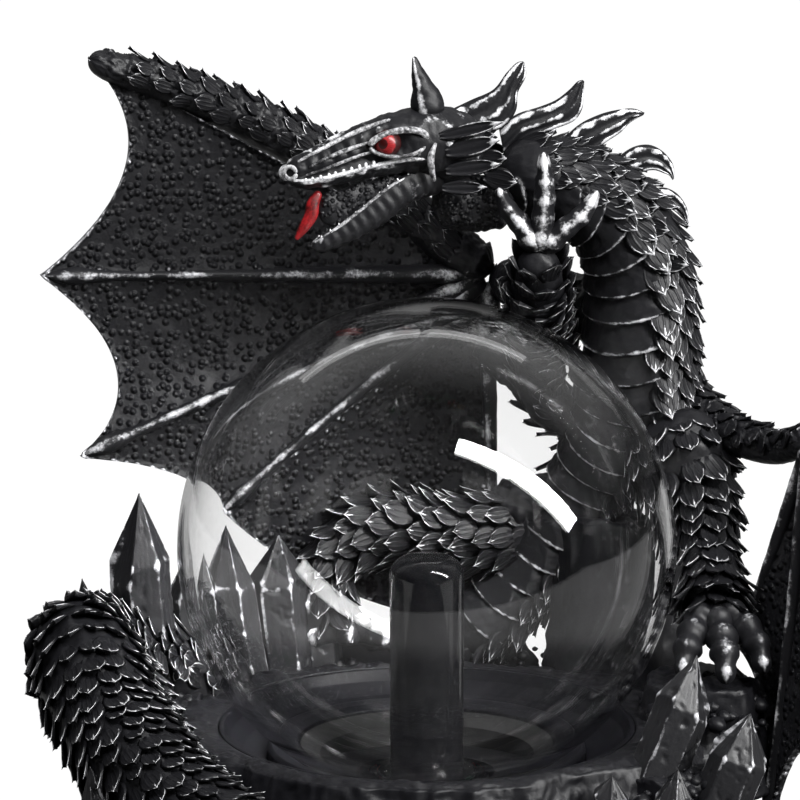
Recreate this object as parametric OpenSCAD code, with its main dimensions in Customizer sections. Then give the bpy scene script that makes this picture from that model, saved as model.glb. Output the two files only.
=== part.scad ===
// Dragon storm-ball lamp: a glass plasma globe held in a cast resin dragon figurine.
// Millimetres, +Z up. The origin is on the table, under the axis of the globe. The front is -Y.

/* [Globe] */
// Outside radius of the glass globe
globe_r = 75; // [74:0.5:76]
// Height of the middle of the globe above the table
globe_z = 112; // [111.5:0.5:113]
// Thickness of the blown glass
glass_wall = 2.5; // [1.5:0.5:3]
// Outside radius of the glass tube in the middle
electrode_r = 11.25; // [10:0.25:12]
// Height of the top of the middle tube above the table
electrode_top = 109.5; // [100:0.5:115]
// Outside radius of the glass neck under the globe
neck_r = 17; // [16.5:0.5:19]

/* [Base] */
// Half width of the rock base along X
base_rx = 104; // [98:1:106]
// Half depth of the rock base along Y
base_ry = 85; // [83:1:86]
// Height of the rock rim round the seat of the globe
rim_z = 57; // [55:1:60]
// Radius of the hollow under the base
cavity_r = 58; // [56:1:60]
// Height of the rubber feet
foot_h = 3; // [2:0.5:3]
// Outside radius of the smooth dish round the globe
dish_r = 63; // [62:0.5:64]

/* [Rear panel] */
// Width of the panel that holds the socket and the switch
panel_w = 60; // [58:1:64]
// Height of the panel
panel_h = 26; // [24:1:27]
// Radius of the mouth of the power socket
socket_r = 3; // [2.75:0.05:3.25]
// Travel of the slide switch, each way from the middle
switch_travel = 2; // [1:0.25:2.25]

/* [Castings] */
// Thickness of the wing skins
skin_t = 3; // [2:0.5:4]
// Gap left for glue between the castings
glue_gap = 0.15; // [0.1:0.05:0.3]
// Radius of the steel dowels in the wing roots
dowel_r = 2; // [1.5:0.25:2.5]

/* [Hidden] */
$fn = 48;
ball_fn = 12;
black_resin = [0.09, 0.09, 0.1];
black_plastic = [0.05, 0.05, 0.05];
steel = [0.7, 0.7, 0.72];
brass = [0.8, 0.65, 0.3];
globe_clearance = 1.5;

// Heights inside the base
cover_t = 2.5;
cover_top = foot_h + cover_t;
board_z = 12;
board_t = 1.6;
board_top = board_z + board_t;
cup_floor_z = 34;
roof_z = 38;
neck_z = 31;

// Rear panel
panel_y = 84;
panel_t = 2.5;
panel_z = 18.5;
socket_x = -18;
microphone_x = -4;
switch_x = 13;
window_w = 50;
window_h = 20;
slot_half = 2.4 + switch_travel;
panel_back = panel_y - panel_t;

// Routes of the dragon: X, Y, Z of points along the middle, and the radius there
torso_route = [[8, 77, 62, 13], [24, 77, 74, 14], [42, 77, 96, 14.5], [56, 75, 118, 16], [66, 66, 142, 18],
    [67, 61, 164, 18.5], [66, 58, 186, 17.5], [60, 55, 202, 16], [48, 52, 212, 15], [34, 48, 217, 14],
    [21, 44, 218, 13]];
skull_route = [[16, 41, 222, 12.5], [4, 36, 229, 12], [-10, 30, 230, 8.5], [-24, 25, 226.5, 6],
    [-36, 22, 223.5, 4.5], [-41, 21, 222.5, 3.8]];
jaw_route = [[2, 35, 216, 5.5], [-8, 31, 211.5, 4.5], [-20, 27, 207, 3.6], [-31, 23, 202.5, 2.8]];
tongue_route = [[-12, 29, 215, 3], [-24, 25.5, 213.5, 2.6], [-33, 23, 210.5, 2.2], [-38, 22, 203.5, 1.2]];
arm_route = [[56, 72, 138, 11], [40, 75, 146, 10], [37, 62, 166, 9], [34, 41, 181, 9.5], [34, 32, 190, 8],
    [34, 28, 199, 6.5]];
hand_tips = [[[29, 27, 205, 3.4], [24, 27, 211, 2.8], [21.5, 28, 217, 1.2]],
    [[35, 26, 208, 3.4], [35.5, 25, 218, 3], [35, 26, 228, 1.2]],
    [[41, 27, 204, 3.4], [47, 27, 209, 2.8], [51.5, 28, 216, 1.2]]];
near_leg_route = [[76, 62, 140, 15], [80, 52, 130, 15.5], [84, 48, 120, 12], [87, 40, 106, 9],
    [88, 28, 96, 9.5], [88, 18, 88, 9]];
near_toes = [[[83, 12, 86, 5], [79, 3, 80, 4.2], [77, -3, 72, 2]],
    [[89, 10, 85, 5], [90, 0, 79, 4.2], [90, -6, 71, 2]],
    [[95, 12, 86, 5], [100, 5, 81, 4], [102, -1, 73, 2]]];
far_leg_route = [[34, 76, 98, 14], [12, 77, 98, 13], [-14, 77, 100, 12], [-30, 74, 92, 9.5], [-32, 70, 78, 8],
    [-28, 68, 70, 8]];
far_toes = [[[-34, 65, 68, 4.5], [-40, 62, 66, 3]], [[-26, 64, 68, 4.5], [-25, 60, 66, 3]],
    [[-18, 66, 68, 4.5], [-12, 63, 66, 3]]];
tail_route = [[-60, 46, 50, 13], [-84, 34, 66, 15.5], [-102, 12, 77, 17.5], [-102, -8, 77, 18],
    [-92, -28, 63, 18], [-77, -48, 50, 17], [-58, -63, 40, 15.5], [-34, -73, 31, 14], [-8, -79, 24, 13],
    [18, -80, 20, 11], [42, -76, 17, 9], [62, -67, 15, 7], [78, -55, 16, 5], [90, -42, 19, 2.5]];
spike_routes = [[[12, 43, 229, 5.5], [20, 46, 238, 4.5], [28, 48, 252, 1.2]],
    [[33, 50, 229, 5], [41, 52, 237, 3.5], [48, 52, 247, 0.8]],
    [[50, 54, 224, 5], [58, 55, 231, 3.8], [67, 55, 237, 0.9]],
    [[62, 56, 214, 5], [70, 57, 222, 4], [77, 58, 215, 1.2]]];
horn_route = [[0, 34, 237, 5], [-2, 33, 247, 3], [-4, 32, 254, 0.8]];
eye_places = [[-12, 23.5, 231], [-8, 39, 231]];
eye_r = 3.6;

// Left wing: the hub by the shoulder, the tip of each finger, and the deepest point of the skin between
left_hub = [20, 83, 182];
left_tips = [[-104, 48, 254, 2.5], [-119.5, 46, 187, 1.5], [-108, 46, 130, 1.5], [-68, 60, 110, 1.5],
    [22, 84, 66, 2]];
left_bays = [[-93, 53, 221], [-97, 54, 156], [-79, 58, 122], [-26, 80, 78]];
left_arm_route = [[20, 83, 182, 8], [-20, 79, 212, 8.5], [-50, 70, 230, 8], [-78, 58, 244, 7],
    [-97, 51, 251, 5.5], [-104, 48, 254, 3.5]];
left_root_route = [[20, 83, 182, 8], [44, 78, 174, 10], [58, 70, 168, 11]];
// Right wing: the wrist is the hub, and the fingers hang down to the rock
right_hub = [116.5, 12, 142];
right_tips = [[116, 46, 46, 1.5], [97, 28, 74, 1.5], [104, -2, 26, 1.5], [115, -26, 36, 1.5]];
right_bays = [[106, 36, 70], [104, 12, 58], [112, -12, 52]];
right_arm_route = [[74, 70, 150, 9], [92, 54, 138, 7], [106, 32, 136, 6], [116.5, 12, 142, 4.5]];

// Dowels of the wing roots: middle point, then the length, along X
dowel_places = [[57, 72, 169], [76, 66, 150]];
dowel_len = 18;

// Crystals: foot, tip and radius of each
left_crystals = [[[-84, 26, 46], [-91, 28, 122], 9.5], [[-96, 32, 40], [-109, 40, 92], 6.5],
    [[-74, 42, 46], [-76, 50, 98], 7], [[-62, 52, 44], [-69, 56, 106], 10.5],
    [[-47, 62, 50], [-51, 64, 101], 10.5], [[-35, 68, 50], [-38, 69, 91], 8]];
front_crystals = [[[-86, -42, 8], [-99, -54, 58], 7], [[-94, -36, 6], [-112, -44, 44], 6],
    [[-72, -58, 6], [-80, -76, 38], 6]];
right_crystals = [[[62, -44, 40], [81, -32, 86], 8.5], [[80, -52, 34], [96, -45, 72], 8.5],
    [[50, -60, 34], [55, -60, 58], 6], [[67, -60, 30], [74, -60, 60], 6.5]];

// A radius that wanders round an ellipse, so that the rock has no straight or even side
function rock_outline(rx, ry, seed, points) = [for (i = [0:points - 1])
    let (a = i * 360 / points, k = 1 + 0.03 * sin(seed + a * 5) + 0.025 * sin(seed * 2 + a * 9))
    [rx * k * cos(a), ry * k * sin(a)]];

// One ledge of rock: an outline that gets smaller towards its top
module rock_ledge(rx, ry, z_low, z_high, taper, seed, grow = 0, points = 20) {
    translate([0, 0, z_low])
        linear_extrude(height = z_high - z_low + grow, scale = taper)
            if (grow == 0) {
                polygon(rock_outline(rx, ry, seed, points));
            } else {
                offset(delta = grow) polygon(rock_outline(rx, ry, seed, points));
            }
}

// The outside of the whole rock base
module rock(grow = 0) {
    rock_ledge(base_rx, base_ry, foot_h, 21, 0.97, 10, grow);
    rock_ledge(base_rx - 6, base_ry - 4, 20, 38, 0.95, 95, grow);
    rock_ledge(base_rx - 13, base_ry - 8, 37, rim_z, 0.91, 200, grow);
    translate([84, 12, 0]) rock_ledge(24, 27, 36, 70, 0.72, 40, grow, 10);
    translate([-8, 77, 0]) rock_ledge(56, 12, 36, 65, 0.8, 130, grow, 14);
    translate([-82, 30, 0]) rock_ledge(20, 24, 36, 60, 0.7, 70, grow, 9);
    translate([74, -42, 0]) rock_ledge(22, 18, 30, 56, 0.7, 20, grow, 9);
    translate([61, 68, 0]) rock_ledge(26, 20, 36, 107, 0.7, 60, grow, 10);
    translate([-(panel_w / 2 + 5) - grow, 60, foot_h])
        cube([panel_w + 10 + 2 * grow, panel_y - 60 + grow, 31]);
}

module ball(p, grow = 0) {
    translate([p.x, p.y, p.z]) sphere(r = p[3] + grow, $fn = ball_fn);
}

// A smooth limb: a hull from each point of a route to the next
module limb(route, grow = 0) {
    for (i = [0:len(route) - 2])
        hull() {
            ball(route[i], grow);
            ball(route[i + 1], grow);
        }
}

module globe_space() {
    translate([0, 0, globe_z]) sphere(r = globe_r + globe_clearance, $fn = 60);
}

// Thin skin between two fingers, from the hub to both tips and to the deepest point between them
module skin(hub, tip_a, tip_b, bay) {
    for (tip = [tip_a, tip_b])
        hull()
            for (p = [hub, tip, bay])
                translate([p.x, p.y, p.z]) sphere(r = skin_t / 2, $fn = 6);
}

// A wing without its arm: skins and tapered fingers, which fan out from the hub
module fan(hub, tips, bays, finger_r) {
    for (i = [0:len(bays) - 1])
        skin(hub, tips[i], tips[i + 1], bays[i]);
    for (tip = tips)
        limb([[hub.x, hub.y, hub.z, finger_r], tip]);
}

// A six-sided crystal with a pointed top, from its foot to its tip
module crystal(foot, tip, r, grow = 0) {
    axis = tip - foot;
    length = norm(axis);
    translate(foot)
        rotate([0, acos(axis.z / length), atan2(axis.y, axis.x)])
            hull() {
                cylinder(r = r + grow, h = length * 0.68, $fn = 6);
                translate([r * 0.3, 0, 0]) cylinder(r = 0.4 + grow, h = length, $fn = 6);
            }
}

module crystals(list, grow = 0) {
    for (c = list)
        crystal(c[0], c[1], c[2], grow);
}

module dowel_holes() {
    for (p = dowel_places)
        translate([p.x - dowel_len / 2 - 0.3, p.y, p.z])
            rotate([0, 90, 0]) cylinder(r = dowel_r + 0.25, h = dowel_len + 0.6, $fn = 24);
}

// A screw along +Z: the underside of its head is at z = 0 and its thread points to -Z
module screw(shank_r, shank_len, head_r, head_h) {
    cylinder(r = head_r, h = head_h);
    translate([0, 0, -shank_len]) cylinder(r = shank_r, h = shank_len + head_h / 2);
}

function corners(x, y) = [[x, y], [-x, y], [-x, -y], [x, -y]];

// ---- Cast resin dragon ----

module base_casting() {
    color(black_resin)
        difference() {
            rock();
            cylinder_void();
            seat_void();
            globe_space();
            translate([-window_w / 2, 40, panel_z - window_h / 2])
                cube([window_w, panel_back - 40 + 0.1, window_h]);
            translate([-panel_w / 2 - 0.2, panel_back, panel_z - panel_h / 2 - 0.2])
                cube([panel_w + 0.4, 20, panel_h + 0.4]);
            for (x = [-27.5, 27.5])
                translate([x, panel_back + 0.1, panel_z]) rotate([90, 0, 0]) cylinder(r = 1.3, h = 9);
        }
}

// The hollow under the base, with the four bosses for the cover left standing and their insert holes cut
module cylinder_void() {
    difference() {
        translate([0, 0, -1]) cylinder(r = cavity_r, h = roof_z + 1, $fn = 96);
        for (a = [45:90:315])
            rotate(a) translate([52, 0, cover_top]) cylinder(r = 6.5, h = roof_z);
    }
    for (a = [45:90:315])
        rotate(a) translate([52, 0, 0]) cylinder(r = 2.45, h = cover_top + 8);
}

// The seat for the dish and the hole for the lamp cup
module seat_void() {
    translate([0, 0, roof_z - 1]) cylinder(r = 46, h = 30);
    for (a = [30:120:270])
        rotate(a) translate([50, 0, roof_z - 1]) cylinder(r = 1.3, h = 5.5);
    rotate_extrude()
        polygon([[0, 40.8], [48.4, 40.8], [48.4, 44.4], [56, 46.9], [60.6, 50.1], [dish_r + 0.4, 50.1],
            [dish_r + 0.4, 90], [0, 90]]);
}

module torso() {
    color(black_resin)
        difference() {
            limb(torso_route);
            rock(glue_gap);
            globe_space();
            dowel_holes();
        }
}

// The skull with three cheek frills on each side
module head_shape(grow = 0) {
    limb(skull_route, grow);
    for (side = [-1, 1])
        for (k = [0:2])
            limb([[4, 36 + side * 8, 231 - 6 * k, 3], [16 + 2 * k, 41 + side * 13, 233 - 8 * k, 1.5]], grow);
}

module head() {
    color(black_resin)
        difference() {
            head_shape();
            limb(torso_route, glue_gap);
            for (p = eye_places)
                translate(p) sphere(r = eye_r + glue_gap, $fn = 24);
        }
}

module lower_jaw() {
    color(black_resin)
        difference() {
            limb(jaw_route);
            head_shape(glue_gap);
            limb(torso_route, glue_gap);
        }
}

module tongue() {
    color([0.5, 0.05, 0.05])
        difference() {
            limb(tongue_route);
            limb(jaw_route, glue_gap);
            head_shape(glue_gap);
        }
}

module eyes() {
    color([0.6, 0.05, 0.05])
        for (p = eye_places)
            translate(p) sphere(r = eye_r);
}

module forehead_horn() {
    color(black_resin)
        difference() {
            limb(horn_route);
            head_shape(glue_gap);
        }
}

module mane_spikes() {
    color(black_resin)
        difference() {
            for (route = spike_routes)
                limb(route);
            limb(torso_route, glue_gap);
            head_shape(glue_gap);
        }
}

module raised_arm() {
    color(black_resin)
        difference() {
            union() {
                limb(arm_route);
                for (finger = hand_tips)
                    limb(concat([arm_route[5]], finger));
            }
            limb(torso_route, glue_gap);
            head_shape(glue_gap);
            globe_space();
        }
}

module near_leg_shape(grow = 0) {
    limb(near_leg_route, grow);
    for (toe = near_toes)
        limb(concat([near_leg_route[5]], toe), grow);
}

module near_leg() {
    color(black_resin)
        difference() {
            near_leg_shape();
            limb(torso_route, glue_gap);
            rock(glue_gap);
            globe_space();
            dowel_holes();
        }
}

module far_leg_shape(grow = 0) {
    limb(far_leg_route, grow);
    for (toe = far_toes)
        limb(concat([far_leg_route[5]], toe), grow);
}

module far_leg() {
    color(black_resin)
        difference() {
            far_leg_shape();
            limb(torso_route, glue_gap);
            rock(glue_gap);
            globe_space();
        }
}

module left_wing() {
    color(black_resin)
        difference() {
            union() {
                fan(left_hub, left_tips, left_bays, 4.5);
                limb(left_arm_route);
                limb(left_root_route);
            }
            limb(torso_route, glue_gap);
            limb(arm_route, glue_gap);
            far_leg_shape(glue_gap);
            rock(glue_gap);
            crystals(left_crystals, glue_gap);
            dowel_holes();
            globe_space();
        }
}

module right_wing() {
    color(black_resin)
        difference() {
            union() {
                fan(right_hub, right_tips, right_bays, 4);
                limb(right_arm_route);
            }
            limb(torso_route, glue_gap);
            near_leg_shape(glue_gap);
            rock(glue_gap);
            crystals(right_crystals, glue_gap);
            dowel_holes();
        }
}

module wing_dowels() {
    color(steel)
        for (p = dowel_places)
            translate([p.x - dowel_len / 2, p.y, p.z])
                rotate([0, 90, 0]) cylinder(r = dowel_r, h = dowel_len);
}

module tail() {
    color(black_resin)
        difference() {
            limb(tail_route);
            rock(glue_gap);
            translate([-150, -150, -49.9]) cube([300, 300, 50]);
        }
}

// Crystals are cut clear of the rock, and of the tail that lies over them
module planted_crystals(list) {
    color([0.16, 0.16, 0.18])
        difference() {
            crystals(list);
            rock(glue_gap);
            limb(tail_route, glue_gap);
            far_leg_shape(glue_gap);
            globe_space();
        }
}

module crystals_left() {
    planted_crystals(left_crystals);
}

module crystals_front() {
    planted_crystals(front_crystals);
}

module crystals_right() {
    planted_crystals(right_crystals);
}

// ---- Globe and its seat ----

module seat_dish() {
    color(black_plastic)
        rotate_extrude($fn = 96)
            polygon([[48.4, 44.5], [56, 47], [60.5, 50.2], [dish_r, 50.2], [dish_r, rim_z], [61.5, rim_z],
                [60, 53.5], [56, 49.6], [48.4, 47]]);
}

module collar_ring() {
    color(black_plastic)
        difference() {
            rotate_extrude($fn = 96)
                polygon([[45.7, 41], [48.2, 41], [48.2, 50], [47, 51.2], [40.4, 48.2], [40.4, 46.2],
                    [45.7, 46.2]]);
            translate([0, 0, globe_z]) sphere(r = globe_r + 0.1);
        }
}

module seal_ring() {
    color([0.12, 0.12, 0.12])
        difference() {
            translate([0, 0, roof_z]) cylinder(r = 40, h = 12);
            translate([0, 0, roof_z - 1]) cylinder(r = 34, h = 14);
            translate([0, 0, globe_z]) sphere(r = globe_r + 0.02);
        }
}

module lamp_cup() {
    color(black_plastic)
        difference() {
            rotate_extrude($fn = 96)
                polygon([[22, cup_floor_z], [45.5, cup_floor_z], [45.5, 35], [54, 35], [54, roof_z - 0.1],
                    [45.5, roof_z - 0.1], [45.5, 46], [43, 46], [43, roof_z], [22, roof_z]]);
            for (a = [30:120:270])
                rotate(a) translate([50, 0, 30]) cylinder(r = 1.6, h = 10);
            for (a = [45:90:315])
                rotate(a) translate([52, 0, 30]) cylinder(r = 6.7, h = roof_z - 30);
        }
}

module cup_screws() {
    color(steel)
        for (a = [30:120:270])
            rotate(a) translate([50, 0, 34.9]) mirror([0, 0, 1]) screw(1.25, 7, 2.6, 1.6);
}

module glass_globe() {
    color([0.85, 0.9, 0.95, 0.3])
        difference() {
            union() {
                translate([0, 0, globe_z]) sphere(r = globe_r, $fn = 96);
                translate([0, 0, neck_z]) cylinder(r = neck_r, h = 9);
            }
            translate([0, 0, globe_z]) sphere(r = globe_r - glass_wall, $fn = 96);
            translate([0, 0, neck_z - 1]) cylinder(r = neck_r - glass_wall, h = 16);
        }
}

// Half the outline of a closed tube: up its side, round its shoulder, and in to the axis
function shoulder(r, low, top, corner) = concat([[0, low], [r, low]],
    [for (a = [0:15:90]) [r - corner + corner * cos(a), top - corner + corner * sin(a)]], [[0, top]]);

module electrode_tube() {
    color([0.2, 0.2, 0.22])
        difference() {
            union() {
                translate([0, 0, neck_z]) cylinder(r = neck_r - glass_wall - 0.1, h = 2);
                rotate_extrude() polygon(shoulder(electrode_r, neck_z, electrode_top, 6));
            }
            rotate_extrude() polygon(shoulder(electrode_r - 1.25, neck_z - 1, electrode_top - 1.25, 4.75));
        }
}

module electrode_core() {
    color([0.1, 0.1, 0.1])
        difference() {
            rotate_extrude() polygon(shoulder(electrode_r - 1.5, 41, electrode_top - 1.5, 4.5));
            translate([0, 0, 40]) cylinder(r = 1.5, h = 6);
        }
}

module electrode_bung() {
    color([0.3, 0.3, 0.3])
        difference() {
            translate([0, 0, neck_z]) cylinder(r = electrode_r - 1.35, h = 9.8);
            translate([0, 0, neck_z - 1]) cylinder(r = 1.5, h = 12);
        }
}

module contact_pin() {
    color(brass)
        translate([0, 0, 27]) {
            cylinder(r = 1.4, h = 18.5);
            cylinder(r = 3, h = 1);
        }
}

// A tube with a many-sided section, swept along points that are already close together
module swept_tube(points, r, sides) {
    last = len(points) - 1;
    rings = [for (i = [0:last])
        let (ahead = points[min(i + 1, last)] - points[max(i - 1, 0)],
            along = ahead / norm(ahead),
            side = cross(along, abs(along.z) > 0.8 ? [1, 0, 0] : [0, 0, 1]),
            across = side / norm(side),
            up = cross(across, along))
        for (j = [0:sides - 1])
            let (a = j * 360 / sides)
            points[i] + r * (cos(a) * across + sin(a) * up)];
    walls = [for (i = [0:last - 1], j = [0:sides - 1])
        let (k = (j + 1) % sides)
        [i * sides + j, i * sides + k, (i + 1) * sides + k, (i + 1) * sides + j]];
    caps = [[for (j = [0:sides - 1]) sides - 1 - j], [for (j = [0:sides - 1]) last * sides + j]];
    polyhedron(rings, concat(walls, caps), convexity = 4);
}

spring_turns = 4;
module contact_spring() {
    color(steel)
        swept_tube([for (i = [0:56]) let (a = i * 360 * spring_turns / 56)
            [2.6 * cos(a), 2.6 * sin(a), 20.6 + 5.8 * i / 56]], 0.35, 6);
}

// Points on a smooth route that leaves one place and arrives at another with the given handles
function bezier(a, b, c, d, steps) = [for (i = [0:steps])
    let (t = i / steps, s = 1 - t)
    a * s * s * s + b * 3 * s * s * t + c * 3 * s * t * t + d * t * t * t];

module high_voltage_lead() {
    color([0.7, 0.1, 0.1])
        swept_tube(bezier([-18, 2.5, 21], [-18, 9, 21], [-4, 6, 17], [2.6, -0.9, 19.8], 12), 0.9, 8);
}

// ---- Electronics ----

module circuit_board() {
    color([0.1, 0.35, 0.2])
        difference() {
            translate([-36, -30, board_z]) cube([72, 52, board_t]);
            for (p = corners(32, 0))
                for (y = [-26, 18])
                    translate([p.x, y, board_z - 1]) cylinder(r = 1.5, h = 4);
        }
}

module board_standoffs() {
    color(brass)
        for (x = [-32, 32])
            for (y = [-26, 18])
                translate([x, y, cover_top])
                    difference() {
                        cylinder(r = 3, h = board_z - cover_top, $fn = 6);
                        translate([0, 0, -1]) cylinder(r = 1.3, h = 10);
                    }
}

module board_screws() {
    color(steel)
        for (x = [-32, 32])
            for (y = [-26, 18])
                translate([x, y, board_top]) screw(1.25, 6, 2.4, 1.4);
}

module transformer_core() {
    color([0.2, 0.2, 0.22])
        translate([-18, -6, board_top])
            difference() {
                translate([-12, -7, 0]) cube([24, 14, 15]);
                difference() {
                    translate([-8.5, -8, 3]) cube([17, 16, 9]);
                    translate([0, 0, 2]) cylinder(r = 3, h = 11);
                }
            }
}

module transformer_coil() {
    color([0.75, 0.6, 0.2])
        translate([-18, -6, board_top + 3.1])
            difference() {
                cylinder(r = 8.3, h = 8.8);
                translate([0, 0, -1]) cylinder(r = 3.1, h = 11);
            }
}

module capacitors() {
    color([0.1, 0.12, 0.3])
        for (c = [[12, -20, 5, 13], [24, -18, 5, 13], [26, 8, 4, 11], [-30, 8, 3, 8]])
            translate([c[0], c[1], board_top])
                union() {
                    cylinder(r = c[2], h = c[3]);
                    translate([0, 0, c[3]]) cylinder(r = c[2] - 0.8, h = 0.4);
                }
}

module power_transistor() {
    color([0.08, 0.08, 0.08])
        translate([10, 0, board_top]) {
            translate([-5, 0, 4]) cube([10, 4.4, 9]);
            translate([-5, 3.1, 13]) cube([10, 1.3, 4]);
            for (x = [-2.5, 0, 2.5])
                translate([x - 0.4, 1.8, 0]) cube([0.8, 0.6, 4]);
        }
}

module heat_sink() {
    color([0.6, 0.6, 0.62])
        translate([10, 4.5, board_top]) {
            translate([-11, 0, 0]) cube([22, 2, 17]);
            for (i = [0:5])
                translate([-11 + i * 4.15, 2, 0]) cube([1.25, 9, 17]);
        }
}

module control_chips() {
    color([0.06, 0.06, 0.06])
        for (p = [[-6, 10], [-20, 14]])
            translate([p.x, p.y, board_top]) {
                translate([-4.6, -3.2, 0.6]) cube([9.2, 6.4, 3.2]);
                for (x = [-3.8:2.54:3.9])
                    for (side = [-1, 1])
                        translate([x - 0.25, side * 3.6 - 0.4, 0]) cube([0.5, 0.8, 2]);
            }
}

module microphone() {
    color(steel)
        translate([microphone_x, panel_back, panel_z]) rotate([90, 0, 0])
            difference() {
                cylinder(r = 3, h = 4);
                translate([0, 0, -1]) cylinder(r = 1, h = 2);
            }
}

module inner_wires() {
    color([0.6, 0.08, 0.08]) {
        swept_tube(bezier([socket_x, 68.8, panel_z], [socket_x, 58, panel_z], [-16, 40, 24],
            [-12, 19, board_top + 0.6], 12), 0.7, 8);
        swept_tube(bezier([switch_x, 72.4, panel_z], [switch_x, 60, panel_z], [14, 44, 24],
            [4, 18, board_top + 0.6], 12), 0.7, 8);
        swept_tube(bezier([microphone_x, 77.3, panel_z], [microphone_x, 66, panel_z], [-4, 44, 22],
            [-4, 20, board_top + 0.6], 12), 0.7, 8);
    }
}

// ---- Rear panel ----

module rear_panel() {
    color(black_plastic)
        difference() {
            translate([-panel_w / 2, panel_back + 0.05, panel_z - panel_h / 2])
                cube([panel_w, panel_t - 0.05, panel_h]);
            translate([socket_x, panel_y + 1, panel_z]) rotate([90, 0, 0]) cylinder(r = 4.1, h = 6);
            for (x = [-1.6, 0, 1.6])
                translate([microphone_x + x, panel_y + 1, panel_z])
                    rotate([90, 0, 0]) cylinder(r = 0.5, h = 6);
            translate([switch_x - slot_half, panel_y - 4, panel_z - 1.8]) cube([2 * slot_half, 6, 3.6]);
            for (x = [-9.5, 9.5])
                translate([switch_x + x, panel_y + 1, panel_z]) rotate([90, 0, 0]) cylinder(r = 1.1, h = 6);
            for (x = [-27.5, 27.5])
                translate([x, panel_y + 1, panel_z]) rotate([90, 0, 0]) cylinder(r = 1.5, h = 6);
        }
}

module panel_screws() {
    color(steel)
        for (x = [-27.5, 27.5])
            translate([x, panel_y, panel_z]) rotate([-90, 0, 0]) screw(1.25, 9, 2.4, 1.4);
}

// A round socket: a wide mouth, then a narrower throat that holds the contact pin
module power_socket() {
    color(black_plastic)
        translate([socket_x, panel_y, panel_z]) rotate([90, 0, 0])
            difference() {
                union() {
                    translate([0, 0, -1.5]) cylinder(r = 5.4, h = 1.5);
                    cylinder(r = 4, h = 10);
                    translate([0, 0, 6]) cylinder(r = 5.2, h = 9);
                }
                translate([0, 0, -2.5]) cylinder(r = socket_r, h = 8);
                difference() {
                    translate([0, 0, 5]) cylinder(r = socket_r - 0.3, h = 5);
                    translate([0, 0, 5.6]) cylinder(r = 1.05, h = 5);
                }
            }
}

module socket_nut() {
    color(steel)
        translate([socket_x, panel_back, panel_z]) rotate([90, 0, 0])
            difference() {
                cylinder(r = 6.5, h = 2.2, $fn = 6);
                translate([0, 0, -1]) cylinder(r = 4.05, h = 5);
            }
}

module switch_body() {
    color([0.75, 0.75, 0.78])
        difference() {
            union() {
                translate([switch_x - 6.5, panel_back - 9, panel_z - 3.5]) cube([13, 8.1, 7]);
                translate([switch_x - 12, panel_back - 1, panel_z - 3.5]) cube([24, 1, 7]);
            }
            translate([switch_x - slot_half - 1, panel_back - 5, panel_z - 2.4])
                cube([2 * slot_half + 2, 6, 4.8]);
            for (x = [-9.5, 9.5])
                translate([switch_x + x, panel_back + 1, panel_z]) rotate([90, 0, 0]) cylinder(r = 1.05, h = 4);
        }
}

module switch_slider() {
    color([0.1, 0.1, 0.1]) {
        translate([switch_x - 2.9, panel_back - 4.7, panel_z - 2.1]) cube([5.8, 4.3, 4.2]);
        translate([switch_x - 2, panel_back - 1, panel_z - 1.4]) cube([4, 6, 2.8]);
    }
}

module switch_screws() {
    color(steel)
        for (x = [-9.5, 9.5])
            translate([switch_x + x, panel_y, panel_z]) rotate([-90, 0, 0]) screw(1, 5, 1.9, 1);
}

// ---- Underside ----

module bottom_cover() {
    color(black_plastic)
        difference() {
            translate([0, 0, foot_h]) cylinder(r = cavity_r - 0.4, h = cover_t, $fn = 96);
            for (a = [45:90:315])
                rotate(a) translate([52, 0, 0]) cylinder(r = 1.7, h = 10);
            for (i = [-3:3])
                translate([i * 7 - 1.25, -18, 0]) cube([2.5, 36, 10]);
        }
}

module cover_screws() {
    color(steel)
        for (a = [45:90:315])
            rotate(a) translate([52, 0, foot_h]) mirror([0, 0, 1]) screw(1.4, 9, 2.7, 1.5);
}

module threaded_inserts() {
    color(brass)
        for (a = [45:90:315])
            rotate(a) translate([52, 0, cover_top + 0.3])
                difference() {
                    cylinder(r = 2.4, h = 6);
                    translate([0, 0, -1]) cylinder(r = 1.45, h = 8);
                }
}

module rubber_feet() {
    color([0.08, 0.08, 0.08])
        for (p = corners(72, 47))
            translate([p.x, p.y, 0]) cylinder(r = 8, h = foot_h);
}

base_casting();
torso();
head();
lower_jaw();
tongue();
eyes();
forehead_horn();
mane_spikes();
raised_arm();
near_leg();
far_leg();
left_wing();
right_wing();
wing_dowels();
tail();
crystals_left();
crystals_front();
crystals_right();
seat_dish();
collar_ring();
seal_ring();
lamp_cup();
cup_screws();
glass_globe();
electrode_tube();
electrode_core();
electrode_bung();
contact_pin();
contact_spring();
high_voltage_lead();
circuit_board();
board_standoffs();
board_screws();
transformer_core();
transformer_coil();
capacitors();
power_transistor();
heat_sink();
control_chips();
microphone();
inner_wires();
rear_panel();
panel_screws();
power_socket();
socket_nut();
switch_body();
switch_slider();
switch_screws();
bottom_cover();
cover_screws();
threaded_inserts();
rubber_feet();
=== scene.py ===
# %% [markdown]
# # A storm-ball lamp held by a dragon
# The real lamp is a blown glass globe on a cast resin figurine. The castings are black, with silver rubbed
# over the high spots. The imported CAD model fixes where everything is, and this file gives it its skin.
# Nothing here is sculpted by hand: each surface is a formula, so the file makes the same lamp every time.

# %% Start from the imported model
import bpy
import numpy as np
from mathutils import Matrix, Vector


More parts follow.
